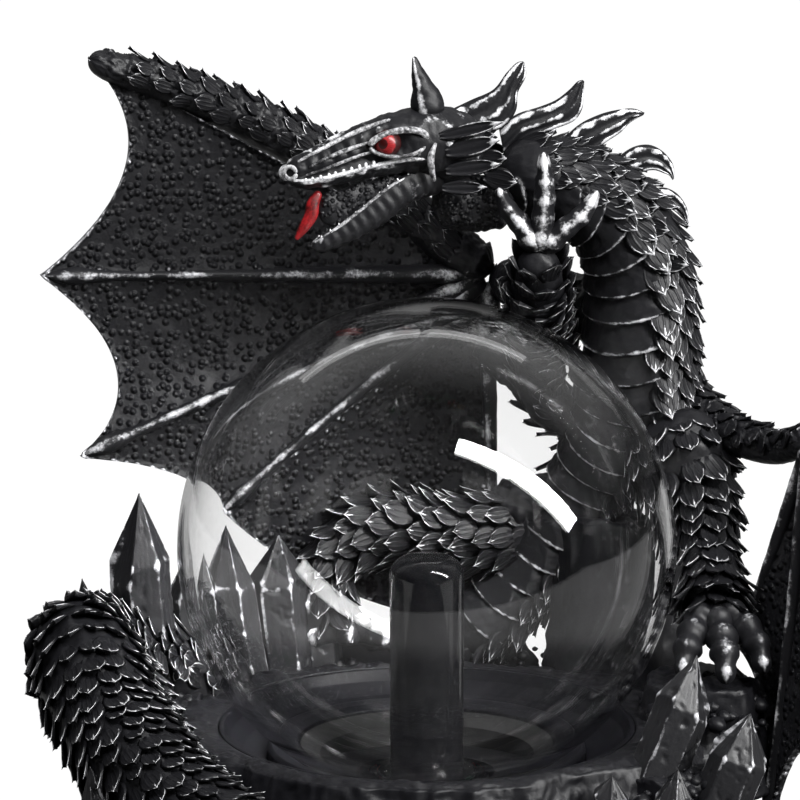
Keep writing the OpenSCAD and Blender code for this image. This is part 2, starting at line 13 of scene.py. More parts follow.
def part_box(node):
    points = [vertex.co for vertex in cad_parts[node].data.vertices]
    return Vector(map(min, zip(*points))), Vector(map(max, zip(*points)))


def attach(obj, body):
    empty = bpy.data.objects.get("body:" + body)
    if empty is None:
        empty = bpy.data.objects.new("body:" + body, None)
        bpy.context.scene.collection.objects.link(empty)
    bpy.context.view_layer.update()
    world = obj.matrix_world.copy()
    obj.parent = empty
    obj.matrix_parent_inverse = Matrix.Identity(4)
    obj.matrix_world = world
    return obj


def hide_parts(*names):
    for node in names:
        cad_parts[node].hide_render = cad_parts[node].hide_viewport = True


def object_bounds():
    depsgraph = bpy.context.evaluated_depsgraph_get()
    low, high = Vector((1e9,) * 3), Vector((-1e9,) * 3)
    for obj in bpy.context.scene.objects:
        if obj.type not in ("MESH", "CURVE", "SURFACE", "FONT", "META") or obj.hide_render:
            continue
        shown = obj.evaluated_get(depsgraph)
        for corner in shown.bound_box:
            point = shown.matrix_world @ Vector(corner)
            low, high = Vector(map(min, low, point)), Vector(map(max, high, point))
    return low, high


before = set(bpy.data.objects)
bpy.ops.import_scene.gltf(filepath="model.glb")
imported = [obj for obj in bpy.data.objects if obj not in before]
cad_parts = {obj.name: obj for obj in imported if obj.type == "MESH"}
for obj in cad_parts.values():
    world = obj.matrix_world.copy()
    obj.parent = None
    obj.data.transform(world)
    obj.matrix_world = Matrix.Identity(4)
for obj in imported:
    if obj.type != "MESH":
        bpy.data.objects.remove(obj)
cad_low, cad_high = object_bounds()
globe_low, globe_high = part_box("glass_globe")
GLOBE_R = 75.0
mm = (globe_high.x - globe_low.x) / 2 / GLOBE_R
GLOBE_Z = globe_high.z / mm - GLOBE_R
print(f"1 drawing millimetre is {mm:.6f} m, the globe's middle is {GLOBE_Z:.1f} mm up")

# %% [markdown]
# ## The camera
# It stands in front of the lamp and a little above it, far away, so that the globe stays a circle. A short lens
# close by would pull the dragon's head towards the viewer and make an egg of the glass.

# %% Camera
CAMERA_DISTANCE = 1150 * mm
CAMERA_RISE = np.radians(13)
globe_middle = Vector((0, 0, GLOBE_Z * mm))
camera_data = bpy.data.cameras.new("camera")
camera_data.sensor_width = 36
camera_data.lens = 172
camera_data.dof.use_dof = False
camera = bpy.data.objects.new("camera", camera_data)
bpy.context.scene.collection.objects.link(camera)
away = Vector((0, -np.cos(CAMERA_RISE), np.sin(CAMERA_RISE)))
camera.location = globe_middle + away * CAMERA_DISTANCE
picture_middle = globe_middle + Vector((-8.1, 0, 44.8)) * mm
camera.rotation_mode = "QUATERNION"
camera.rotation_quaternion = (picture_middle - camera.location).to_track_quat("-Z", "Y")
bpy.context.scene.camera = camera
print("camera at", [round(c, 3) for c in camera.location])

# %% [markdown]
# ## Patches
# Every new surface is a patch: points, four-sided faces, triangles, and three numbers per point. The first says
# how proud the surface is there, from 0 in a groove to 1 on a ridge. The other two say where a point of a leaf
# scale is, across it and down it. The paint reads all three. Modifiers could grow such shapes too, but in an
# array a point's place and its paint come out of the same formula, and a whole grid is worked out at once.

# %% Patches
def grid_patch(points, relief, loop=False, sheet=False):
    """A grid of points made into faces, point (i, j) with (i + 1, j + 1). The last column joins the first, and
    with loop the last row does too. Without it both end rows are closed: with a fan of triangles to their mean,
    or, for a thin sheet, with a strip from its front half to its rear half."""
    rows, columns, _ = points.shape
    index = np.arange(rows * columns).reshape(rows, columns)
    if loop:
        index = np.vstack([index, index[:1]])
    left, right = index, np.roll(index, -1, axis=1)
    quads = np.stack([left[:-1], right[:-1], right[1:], left[1:]], axis=-1).reshape(-1, 4)
    relief = np.asarray(relief, float)
    high = np.zeros((rows, columns, 3))
    high[..., :relief.shape[2] if relief.ndim == 3 else 1] = relief if relief.ndim == 3 else np.broadcast_to(
        relief, (rows, columns))[..., None]
    flat, high = points.reshape(-1, 3), high.reshape(-1, 3)
    triangles = np.zeros((0, 3), int)
    if sheet:
        half = columns // 2
        for row, way in ((index[0], -1), (index[-1], 1)):
            front, rear = row[:half], row[half:][::-1]
            strip = np.stack([front[:-1], front[1:], rear[1:], rear[:-1]], axis=-1)
            quads = np.vstack([quads, strip[:, ::way]])
    elif not loop:
        first, last = len(flat), len(flat) + 1
        flat = np.vstack([flat, points[0].mean(0), points[-1].mean(0)])
        high = np.vstack([high, high[0], high[-1]])
        start = np.stack([np.full(columns, first), right[0], left[0]], axis=1)
        finish = np.stack([np.full(columns, last), left[-1], right[-1]], axis=1)
        triangles = np.vstack([start, finish])
    return flat, quads, triangles, high


def copies(patch, places):
    """One patch repeated: places has shape (copies, points, 3) and holds every copy's points."""
    _, quads, triangles, relief = patch
    count, size = places.shape[:2]
    offset = (np.arange(count) * size)[:, None, None]
    return (places.reshape(-1, 3), (quads[None] + offset).reshape(-1, 4),
            (triangles[None] + offset).reshape(-1, 3), np.tile(relief, (count, 1)))


def joined(*patches):
    """Several patches as one, with the later ones' point numbers moved up."""
    offsets = np.cumsum([0] + [len(p[0]) for p in patches[:-1]])
    return (np.vstack([p[0] for p in patches]), np.vstack([p[1] + o for p, o in zip(patches, offsets)]),
            np.vstack([p[2] + o for p, o in zip(patches, offsets)]), np.concatenate([p[3] for p in patches]))


one_square = np.array([[[0, 0, 0], [1, 0, 0], [1, 1, 0]], [[0, 0, 1], [1, 0, 1], [1, 1, 1]]], float)
print("a grid of 2 rows and 3 columns has", len(grid_patch(one_square, 0.5)[1]), "four-sided faces")

# %% Pieces
INSIDE = 0.05
lowest, highest = np.array(cad_low) / mm + INSIDE, np.array(cad_high) / mm - INSIDE
triangle_total = 0


def make_piece(name, patch, material, slot, *nodes, body="figurine"):
    """Puts a patch into a mesh in metres, gives it its paint, and hides the CAD nodes it stands for. Points are
    held between the CAD box's lowest and highest corners."""
    global triangle_total
    points, quads, triangles, relief = patch
    points = np.clip(points, lowest, highest)
    mesh = bpy.data.meshes.new(name)
    mesh.vertices.add(len(points))
    mesh.vertices.foreach_set("co", (points * mm).astype(np.float32).ravel())
    corners = np.concatenate([quads.ravel(), triangles.ravel()]).astype(np.int32)
    starts = np.concatenate([np.arange(len(quads)) * 4, len(quads) * 4 + np.arange(len(triangles)) * 3])
    mesh.loops.add(len(corners))
    mesh.loops.foreach_set("vertex_index", corners)
    mesh.polygons.add(len(starts))
    mesh.polygons.foreach_set("loop_start", starts.astype(np.int32))
    mesh.polygons.foreach_set("use_smooth", np.ones(len(starts), bool))
    mesh.update(calc_edges=True)
    numbers = mesh.attributes.new("relief", "FLOAT_VECTOR", "POINT")
    numbers.data.foreach_set("vector", relief.astype(np.float32).ravel())
    mesh.materials.append(material)
    piece = bpy.data.objects.new(name, mesh)
    bpy.context.scene.collection.objects.link(piece)
    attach(piece, body)
    if nodes:
        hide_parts(*nodes)
    count = 2 * len(quads) + len(triangles)
    triangle_total += count
    print(f"{name}: {count} triangles")
    return piece


print("pieces stay between", lowest.round(1), "and", highest.round(1))

# %% [markdown]
# ## Noise
# Cast resin and rock are never even. A Displace modifier could roughen them, but the paint has to know about
# the same bumps. So value noise is used: it puts a number on each corner of a lattice and blends between
# them, and the same place always gets the same number.

# %% Noise
def scattered(cells, seed):
    """A number from 0 to 1 for each whole-numbered cell: the fraction of a large sine."""
    wave = np.sin(cells @ np.array([127.1, 311.7, 74.7][:cells.shape[-1]]) + seed * 17.3) * 43758.5453
    return wave - np.floor(wave)


def noise(points, scale, seed=0):
    """Value noise from -1 to 1: corner numbers blended by 3f^2 - 2f^3 along each axis."""
    cell = np.floor(points / scale)
    f = points / scale - cell
    f = f * f * (3 - 2 * f)
    total = 0
    for corner in np.ndindex(2, 2, 2):
        weight = np.prod(np.where(corner, f, 1 - f), axis=-1)
        total = total + weight * scattered(cell + np.array(corner), seed)
    return total * 2 - 1


def rough(points, scale, layers=3, seed=0):
    """Noise on noise: each layer is half as large and half as strong."""
    return sum(noise(points, scale / 2 ** k, seed + k) / 2 ** k for k in range(layers))


def step(low, high, x):
    """0 below low, 1 above high, and 3t^2 - 2t^3 between."""
    t = np.clip((x - low) / (high - low), 0, 1)
    return t * t * (3 - 2 * t)


def clear_of_globe(points, gap=1.2):
    """Points nearer to the globe's middle than its radius and a gap are pushed straight out."""
    middle = np.array([0, 0, GLOBE_Z])
    out = points - middle
    distance = np.linalg.norm(out, axis=-1, keepdims=True)
    return middle + out * np.maximum(1, (GLOBE_R + gap) / np.maximum(distance, 1e-6))


sample = rough(np.stack(np.meshgrid(*[np.arange(12.0)] * 3), axis=-1), 2.3)
print(f"rough noise runs from {sample.min():.2f} to {sample.max():.2f}")

# %% [markdown]
# ## Limbs
# A neck, a finger and a tail are the same thing to a modeller: a ring carried along a smooth path, wider here
# and thinner there. Points on the path are X, Y, Z and radius in millimetres, as in the CAD source. A curve
# object with a round bevel would do for a plain tube, but scales and ridges have to find the surface again.

# %% Limbs
def unit(vectors):
    """Each vector divided by its own length."""
    return vectors / np.maximum(np.linalg.norm(vectors, axis=-1, keepdims=True), 1e-9)


def smooth_route(points, steps):
    """A Catmull-Rom curve through every point, then evenly spaced along its length."""
    p = np.asarray(points, float)
    padded = np.vstack([2 * p[0] - p[1], p, 2 * p[-1] - p[-2]])
    t = np.linspace(0, len(p) - 1, 40 * len(p))
    i = np.minimum(t.astype(int), len(p) - 2)
    f = (t - i)[:, None]
    a, b, c, d = (padded[i + k] for k in range(4))
    fine = 0.5 * (2 * b + (c - a) * f + (2 * a - 5 * b + 4 * c - d) * f ** 2 + (3 * b - a - 3 * c + d) * f ** 3)
    length = np.concatenate([[0], np.cumsum(np.linalg.norm(np.diff(fine[:, :3], axis=0), axis=1))])
    even = np.linspace(0, length[-1], steps)
    return np.stack([np.interp(even, length, fine[:, k]) for k in range(fine.shape[1])], axis=1), even


def limb(points, steps, backs, wide=1.0):
    """A path with a frame at each step: along it, to its back, and to its side, which is along x back. Both ends
    are rounded: there the radius is r sqrt(1 - (1 - s / r)^2), with s the distance from the end."""
    route, s = smooth_route(points, steps)
    centre, radius = route[:, :3], np.maximum(route[:, 3], 0.05)
    along = unit(np.gradient(centre, axis=0))
    backs = np.atleast_2d(np.asarray(backs, float))
    spots = np.linspace(0, 1, len(backs)) if len(backs) > 1 else np.array([0.0])
    share = s / s[-1]
    back = np.stack([np.interp(share, spots, backs[:, k]) for k in range(3)], axis=1)
    back = unit(back - (back * along).sum(1, keepdims=True) * along)
    side = np.cross(along, back)
    closing = np.ones(steps)
    for from_end, end_r in ((s, radius[0]), (s[-1] - s, radius[-1])):
        closing = closing * np.sqrt(np.clip(1 - np.clip(1 - from_end / end_r, 0, 1) ** 2, 0.0004, 1))
    return {"centre": centre, "along": along, "back": back, "side": side, "r": radius * closing, "s": s,
            "wide": wide}


def on_limb(l, turn, lift=0.0):
    """Points at angle turn round each step: centre + (r + lift)(cos turn x back + sin turn x side)."""
    r = l["r"][:, None]
    up = (r + lift) * np.cos(turn)
    across = (r * l["wide"] + lift) * np.sin(turn)
    return l["centre"][:, None] + up[..., None] * l["back"][:, None] + across[..., None] * l["side"][:, None]


def angles(count):
    """Evenly spaced angles 2 pi k / count."""
    return np.arange(count) * 2 * np.pi / count


def tube(points, steps, around=10, back=(0, 1, 0.1), relief=0.8, wide=1.0, grain=0.0):
    """A plain limb as a patch, for ridges, teeth and folds. Grain x noise is added to its radius."""
    l = limb(points, steps, back, wide)
    p = on_limb(l, angles(around)[None])
    if grain:
        p = p + grain * noise(p, 2.5)[..., None] * unit(p - l["centre"][:, None])
    return grid_patch(p, relief)


print("a plain tube of 12 rings has", len(tube([[0, 0, 0, 2], [0, 0, 10, 1]], 12)[1]), "four-sided faces")

# %% [markdown]
# ## Leaf scales
# The back, the tail and the legs carry leaf-shaped scales that overlap like roof tiles. Bump alone would leave
# the outline smooth. So one small closed leaf with a rim and a middle rib is repeated along the limb in
# staggered rows, and the outline gets real tips. A leaf has few faces, because there are thousands of them.

# %% Leaf scales
def leaf(rows=6, columns=7, pointed=0.5):
    """A closed leaf, with u from edge to edge and v from root to tip. Its rim stands up near |u| = 0.8 and at the
    tip, its middle rib at u = 0, and the hollows between them stay low and dark. Its half width is the sine of
    pi w to the power 0.6, with w = (0.16 + 0.84 v)^(0.9 + 0.6 pointed), so that its root is already wide."""
    v = np.linspace(0.02, 1, rows)[:, None] ** 0.85
    u = np.sign(np.linspace(-1, 1, columns)) * np.abs(np.linspace(-1, 1, columns)) ** 0.75
    half = np.maximum(np.sin(np.pi * np.clip(0.16 + 0.84 * v, 0, 1) ** (0.9 + 0.6 * pointed)) ** 0.6, 0.02)
    under = np.linspace(1, -1, 4)[None, 1:-1]
    tip = step(0.74, 0.92, v)
    rim = np.maximum(np.exp(-((np.abs(u) - 0.78) / 0.2) ** 2), tip * (1 - 0.5 * np.abs(u) ** 4))
    rib = np.exp(-(u / 0.22) ** 2) * (1 - 0.6 * tip) * v
    edge = np.abs(u) ** 6
    height = 0.14 + 0.20 * v + 0.34 * rim * (0.3 + 0.7 * v) + 0.24 * rib - 0.12 * edge
    x = np.concatenate([u * half, under * half], axis=1)
    y = np.concatenate([v - 0.12 * u ** 2 * v, v + 0 * under], axis=1)
    z = np.concatenate([height, -0.06 + 0 * under * v], axis=1)
    shine = np.clip(0.06 + 0.72 * rim * (0.25 + 0.75 * v) + 0.42 * rib - 0.3 * edge, 0, 1)
    shine = np.concatenate([shine, 0 * under * v], axis=1)
    across = np.concatenate([u + 0 * v, under + 0 * v], axis=1)
    down = np.concatenate([v + 0 * u, 0 * under * v], axis=1)
    return grid_patch(np.stack([x, y, z], axis=-1), np.stack([shine, across, down], axis=-1))


def leaves_at(spots, side, along, out, width, length, thick, lift, bend, shape):
    """Copies of a leaf: x goes to the side, y along, and z out, less the drop x^2 / 2 bend of a round limb."""
    x, y, z = shape[0].T
    w, l, t, k, b = (np.broadcast_to(a, len(spots))[:, None] for a in (width, length, thick, lift, bend))
    across, down = x * w / 2, y * l
    up = z * t + k * y ** 1.5 * l - across ** 2 / (2 * b)
    places = (spots[:, None] + across[..., None] * side[:, None] + down[..., None] * along[:, None]
              + up[..., None] * out[:, None])
    return copies(shape, places)


def leaf_rows(l, start, end, pitch, width, turn_from, turn_to, length, thick=1.6, lift=0.18, towards=-1,
              seed=1):
    """Staggered rows of leaves on a limb between two lengths and two angles; towards is -1 for tips at its start.
    A row's count is r (turn_to - turn_from) / width. Each leaf's turn, size and lean wander by its own number."""
    sink = 0.5
    rows = []
    for i, s in enumerate(np.arange(start, end, pitch)):
        k = int(np.argmin(np.abs(l["s"] - s)))
        r = l["r"][k] * (l["wide"] + 1) / 2
        count = max(1, int(round(r * (turn_to - turn_from) / width)))
        turn = turn_from + (np.arange(count) + (0.75 if i % 2 else 0.25)) * (turn_to - turn_from) / count
        rows.append(np.stack([np.full(count, k), turn], axis=1))
    rows = np.vstack(rows)
    chance = scattered(rows, seed) - 0.5
    other = scattered(rows[:, [1, 0]], seed + 3) - 0.5
    k = rows[:, 0].astype(int)
    turn = rows[:, 1] + 0.16 * chance
    c, s = np.cos(turn)[:, None], np.sin(turn)[:, None]
    back, side = l["back"][k], l["side"][k]
    r = l["r"][k][:, None]
    out = unit(c * back + s * side / l["wide"])
    spots = l["centre"][k] + r * c * back + (r * l["wide"]) * s * side - sink * out
    along = towards * l["along"][k]
    along = unit(along + 0.34 * other[:, None] * np.cross(out, along))
    along = unit(along - (along * out).sum(1, keepdims=True) * out)
    across = np.cross(along, out)
    size = 1 + 0.34 * chance
    return leaves_at(spots, across, along, out, width * 1.2 * size, length * size, thick, lift + 0.14 * other,
                     np.maximum(l["r"][k], 3), leaf())


print("leaf has", 2 * len(leaf()[1]) + len(leaf()[2]), "triangles")

# %% [markdown]
# ## Paint
# One node group does what the painter does: black first, then an almost dry brush of silver that only
# catches on what stands proud. It reads the relief number and breaks the edge of each stroke with noise. The
# mask could be painted by hand, but thousands of scales would take days, and a formula paints them alike.

# %% Node helpers
def add_socket(group, name, kind, way, value=None):
    """A named input or output of a node group, with its starting value."""
    socket = group.interface.new_socket(name=name, in_out=way, socket_type=f"NodeSocket{kind}")
    if value is not None:
        socket.default_value = value


def linked(tree, kind, values=(), links=(), **settings):
    """A new node: values set its sockets by name or number, and links join other nodes' outputs to them."""
    made = tree.nodes.new(kind)
    for name, value in settings.items():
        setattr(made, name, value)
    for socket, value in dict(values).items():
        made.inputs[socket].default_value = value
    for socket, source in dict(links).items():
        tree.links.new(source, made.inputs[socket])
    return made


print("node groups so far:", len(bpy.data.node_groups))

# %% Dry-brushed paint group
def dry_brush_group():
    """Mask = step of relief plus stroke noise. Colour and metal follow the mask, and roughness and height follow the
    stroke noise.
    """
    group = bpy.data.node_groups.new("dry_brushed", "ShaderNodeTree")
    add_socket(group, "Relief", "Float", "INPUT", 0.5)
    add_socket(group, "Paint", "Color", "INPUT", (0.01, 0.01, 0.011, 1))
    add_socket(group, "Silver", "Color", "INPUT", (0.6, 0.6, 0.62, 1))
    add_socket(group, "Reach", "Float", "INPUT", 0.5)
    add_socket(group, "Stroke Scale", "Float", "INPUT", 900.0)
    add_socket(group, "Color", "Color", "OUTPUT")
    add_socket(group, "Metallic", "Float", "OUTPUT")
    add_socket(group, "Roughness", "Float", "OUTPUT")
    add_socket(group, "Height", "Float", "OUTPUT")
    enter, leave = group.nodes.new("NodeGroupInput"), group.nodes.new("NodeGroupOutput")
    where = linked(group, "ShaderNodeTexCoord")
    stroke = linked(group, "ShaderNodeTexNoise", {"Detail": 5.0, "Roughness": 0.65},
                    {"Vector": where.outputs["Object"], "Scale": enter.outputs["Stroke Scale"]})
    cloud = linked(group, "ShaderNodeTexNoise", {"Scale": 60.0, "Detail": 2.0},
                   {"Vector": where.outputs["Object"]})
    broken = linked(group, "ShaderNodeMath", {1: 0.55, 2: -0.275}, {0: stroke.outputs["Fac"]},
                    operation="MULTIPLY_ADD")
    drift = linked(group, "ShaderNodeMath", {1: 0.5, 2: -0.25}, {0: cloud.outputs["Fac"]},
                   operation="MULTIPLY_ADD")
    both = linked(group, "ShaderNodeMath", {}, {0: broken.outputs[0], 1: drift.outputs[0]})
    caught = linked(group, "ShaderNodeMath", {}, {0: both.outputs[0], 1: enter.outputs["Relief"]})
    low = linked(group, "ShaderNodeMath", {0: 1.0}, {1: enter.outputs["Reach"]}, operation="SUBTRACT")
    high = linked(group, "ShaderNodeMath", {1: 0.34}, {0: low.outputs[0]})
    mask = linked(group, "ShaderNodeMapRange", {}, {"Value": caught.outputs[0], "From Min": low.outputs[0],
                  "From Max": high.outputs[0]}, interpolation_type="SMOOTHSTEP")
    paint = linked(group, "ShaderNodeMix", {}, {0: mask.outputs[0], 6: enter.outputs["Paint"],
                   7: enter.outputs["Silver"]}, data_type="RGBA")
    metal = linked(group, "ShaderNodeMath", {1: 0.45}, {0: mask.outputs[0]}, operation="MULTIPLY")
    worn = linked(group, "ShaderNodeMath", {1: 0.3, 2: 0.30}, {0: stroke.outputs["Fac"]},
                  operation="MULTIPLY_ADD")
    tall = linked(group, "ShaderNodeMath", {1: 0.5}, {0: stroke.outputs["Fac"]}, operation="MULTIPLY")
    for name, source in (("Color", paint.outputs[2]), ("Metallic", metal.outputs[0]),
                         ("Roughness", worn.outputs[0]), ("Height", tall.outputs[0])):
        group.links.new(source, leave.inputs[name])
    return group


DRY_BRUSH = dry_brush_group()
print("made the group", DRY_BRUSH.name)

# %% Pebbles and ribs
def pebble_group():
    """Round pebbles: Dome rises as the distance to the nearest Voronoi point falls from 0.56 to 0.12."""
    group = bpy.data.node_groups.new("pebbles", "ShaderNodeTree")
    add_socket(group, "Scale", "Float", "INPUT", 380.0)
    add_socket(group, "Dome", "Float", "OUTPUT")
    enter, leave = group.nodes.new("NodeGroupInput"), group.nodes.new("NodeGroupOutput")
    where = linked(group, "ShaderNodeTexCoord")
    cells = linked(group, "ShaderNodeTexVoronoi", {"Randomness": 0.8},
                   {"Vector": where.outputs["Object"], "Scale": enter.outputs["Scale"]})
    dome = linked(group, "ShaderNodeMapRange", {"From Min": 0.56, "From Max": 0.12},
                  {"Value": cells.outputs["Distance"]}, interpolation_type="SMOOTHSTEP")
    group.links.new(dome.outputs[0], leave.inputs["Dome"])
    return group


def fan_group():
    """Rib = crest x down, where crest is the part of cos(5 pi across) above 0.1: ribs that fan out over a leaf and
    fade towards its root."""
    group = bpy.data.node_groups.new("fan_ribs", "ShaderNodeTree")
    add_socket(group, "Across", "Float", "INPUT", 0.0)
    add_socket(group, "Down", "Float", "INPUT", 0.0)
    add_socket(group, "Rib", "Float", "OUTPUT")
    enter, leave = group.nodes.new("NodeGroupInput"), group.nodes.new("NodeGroupOutput")
    turn = linked(group, "ShaderNodeMath", {1: 5 * np.pi}, {0: enter.outputs["Across"]}, operation="MULTIPLY")
    wave = linked(group, "ShaderNodeMath", {}, {0: turn.outputs[0]}, operation="COSINE")
    crest = linked(group, "ShaderNodeMapRange", {"From Min": 0.1, "From Max": 1.0}, {"Value": wave.outputs[0]})
    rib = linked(group, "ShaderNodeMath", {}, {0: crest.outputs[0], 1: enter.outputs["Down"]}, operation="MULTIPLY")
    group.links.new(rib.outputs[0], leave.inputs["Rib"])
    return group


FAN_RIBS = fan_group()
PEBBLES = pebble_group()
print("made the groups", FAN_RIBS.name, "and", PEBBLES.name)

# %% Resin
def new_material(name, **values):
    """A material with a Principled shader, its plain values set on the shader's own sockets."""
    made = bpy.data.materials.new(name)
    made.use_nodes = True
    shader = made.node_tree.nodes["Principled BSDF"]
    for socket, value in values.items():
        shader.inputs[socket.replace("_", " ")].default_value = value
    return made, made.node_tree, shader


def resin(name, reach, paint=(0.006, 0.006, 0.007, 1), silver=(0.66, 0.66, 0.68, 1), stroke=900.0, bump=0.25,
          coat=0.0, pebbles=0.0, proud=0.3, ribs=0.0, metal=True):
    """Cast resin: the dry-brush group drives colour, metal, roughness and a fine bump. Where pebbles is a scale,
    pebbles of that scale are added to the relief and to the bump. Where ribs is above 0, leaf scales get ribs that
    fan out towards their tips. Without metal the high spots are a colour, such as red, and not a metal."""
    made, tree, shader = new_material(name, Coat_Weight=coat, Coat_Roughness=0.25, Specular_IOR_Level=0.22)
    relief = linked(tree, "ShaderNodeAttribute", attribute_name="relief")
    numbers = linked(tree, "ShaderNodeSeparateXYZ", {}, {"Vector": relief.outputs["Vector"]})
    brush = linked(tree, "ShaderNodeGroup", {}, {}, node_tree=DRY_BRUSH)
    brush.inputs["Reach"].default_value = reach
    brush.inputs["Paint"].default_value = paint
    brush.inputs["Silver"].default_value = silver
    brush.inputs["Stroke Scale"].default_value = stroke
    high, tall = numbers.outputs["X"], brush.outputs["Height"]
    if ribs:
        fan = linked(tree, "ShaderNodeGroup", {}, {"Across": numbers.outputs["Y"], "Down": numbers.outputs["Z"]},
                     node_tree=FAN_RIBS)
        high = linked(tree, "ShaderNodeMath", {1: ribs}, {0: fan.outputs["Rib"], 2: high},
                      operation="MULTIPLY_ADD").outputs[0]
        tall = linked(tree, "ShaderNodeMath", {1: 1.5}, {0: fan.outputs["Rib"], 2: tall},
                      operation="MULTIPLY_ADD").outputs[0]
    if pebbles:
        domes = linked(tree, "ShaderNodeGroup", {}, {}, node_tree=PEBBLES)
        domes.inputs["Scale"].default_value = pebbles
        high = linked(tree, "ShaderNodeMath", {1: proud}, {0: domes.outputs["Dome"], 2: high},
                      operation="MULTIPLY_ADD").outputs[0]
        tall = linked(tree, "ShaderNodeMath", {1: 2.6}, {0: domes.outputs["Dome"], 2: tall},
                      operation="MULTIPLY_ADD").outputs[0]
    tree.links.new(high, brush.inputs["Relief"])
    grain = linked(tree, "ShaderNodeBump", {"Strength": bump, "Distance": 0.0004}, {"Height": tall})
    for socket in ("Metallic", "Roughness") if metal else ("Roughness",):
        tree.links.new(brush.outputs[socket], shader.inputs[socket])
    tree.links.new(brush.outputs["Color"], shader.inputs["Base Color"])
    tree.links.new(grain.outputs["Normal"], shader.inputs["Normal"])
    return made


scale_paint = resin("resin_scales", 0.43, bump=0.5, ribs=0.36)
skin_paint = resin("resin_wing_skin", 0.42, silver=(0.40, 0.40, 0.42, 1), bump=1.0, pebbles=390.0, proud=0.34)
bone_paint = resin("resin_bone", 0.42, silver=(0.55, 0.55, 0.57, 1), bump=0.4)
face_paint = resin("resin_face", 0.58, silver=(0.74, 0.74, 0.76, 1), bump=0.5)
belly_paint = resin("resin_belly", 0.45, silver=(0.55, 0.55, 0.57, 1), bump=0.5)
flesh_paint = resin("resin_flesh", 0.40, silver=(0.40, 0.40, 0.42, 1), bump=0.8, pebbles=620.0)
rock_paint = resin("resin_rock", 0.30, paint=(0.004, 0.004, 0.005, 1), silver=(0.44, 0.44, 0.46, 1), stroke=500.0,
                   bump=0.6)
crystal_paint = resin("resin_crystal", 0.44, paint=(0.008, 0.008, 0.009, 1), silver=(0.46, 0.46, 0.48, 1),
                      stroke=700.0, bump=0.5, coat=0.10)
print("castings' paints:", [m.name for m in bpy.data.materials if m.name.startswith("resin")])

# %% [markdown]
# ## The neck and back
# The belly has wide plates that lap over each other like roof slates, each with its free edge towards the
# tail. The back has leaf scales. The plates could be separate rings, but on the casting they are one skin with
# steps in it, so they are a saw-tooth in the distance along the body.

# %% Torso
TORSO = [[8, 77, 62, 13], [24, 77, 74, 14], [42, 77, 96, 14.5], [56, 75, 118, 16], [66, 66, 142, 18],
         [67, 61, 164, 18.5], [66, 58, 186, 17.5], [60, 55, 202, 16], [48, 52, 212, 15], [34, 48, 217, 14],
         [21, 44, 218, 13]]
TORSO_BACKS = [(0.5, 0.8, -0.5), (0.65, 0.72, -0.3), (0.76, 0.65, -0.05), (0.84, 0.55, 0.1),
               (0.66, 0.45, 0.6), (0.15, 0.4, 0.9)]


def from_back(turn):
    """How far round from the back a point is, from 0 to pi on either side."""
    return np.abs((turn + np.pi) % (2 * np.pi) - np.pi)


def plates(s, turn, pitch, bow):
    """Height of the belly plates: q is the fraction of a plate, and the height is (1 - q) to the power 0.7."""
    q = ((s - bow * (np.pi - from_back(turn)) ** 2) / pitch) % 1
    return (1 - q) ** 0.7 * step(0, 0.07, q), q


torso_limb = limb(TORSO, 300, TORSO_BACKS)
torso_limb["r"] = torso_limb["r"] - 0.9
turn = angles(150)[None]
plate, part_of_plate = plates(torso_limb["s"][:, None], turn, 9.6, 2.2)
belly = step(np.radians(98), np.radians(106), from_back(turn))
torso_points = on_limb(torso_limb, turn, belly * (2.1 * plate - 0.6))
pits = rough(torso_points, 2.2, 3, 5)
torso_points = torso_points + 0.28 * pits[..., None] * unit(torso_points - torso_limb["centre"][:, None])
rim = np.exp(-((part_of_plate - 0.10) / 0.07) ** 2)
torso_relief = belly * (0.20 + 0.42 * rim + 0.14 * plate + 0.16 * pits) + (1 - belly) * (0.12 + 0.1 * pits)
make_piece("torso_skin", grid_patch(clear_of_globe(torso_points), torso_relief), belly_paint, "cast_resin",
           "torso")
back_scales = leaf_rows(torso_limb, 4, torso_limb["s"][-1] - 5, 4.8, 6.8, np.radians(-106), np.radians(106), 9.0,
                        thick=1.9, lift=0.26, seed=2)
edge_scales = joined(*[leaf_rows(torso_limb, 6, 190, 6.2, 8, np.radians(a), np.radians(a + 10), 10, thick=2.2,
                                 lift=0.36, seed=a) for a in (100, -110)])
make_piece("torso_scales", joined(back_scales, edge_scales), scale_paint, "cast_resin")

# %% [markdown]
# ## The tail
# It comes out of the rock behind, lies round the left side and crosses the front. Its leaves point to its tip,
# and a fringe of longer leaves hangs along its outer side. It is one limb from end to end, because an array of
# separate links would show its joints in the bends.

# %% Tail
TAIL = [[-60, 46, 50, 13], [-84, 34, 66, 15.5], [-102, 12, 77, 17.5], [-102, -8, 77, 18], [-92, -28, 63, 18],
        [-77, -48, 50, 17], [-58, -63, 40, 15.5], [-34, -73, 31, 14], [-8, -79, 24, 13], [18, -80, 20, 11],
        [42, -76, 17, 9], [62, -67, 15, 7], [78, -55, 16, 5], [90, -42, 19, 2.5]]
TAIL_BACKS = [(-0.5, 0.5, 0.7), (-0.6, 0.1, 0.8), (-0.6, -0.3, 0.75), (-0.5, -0.6, 0.6), (0, -0.7, 0.7),
              (0.3, -0.65, 0.65), (0.6, -0.5, 0.6)]


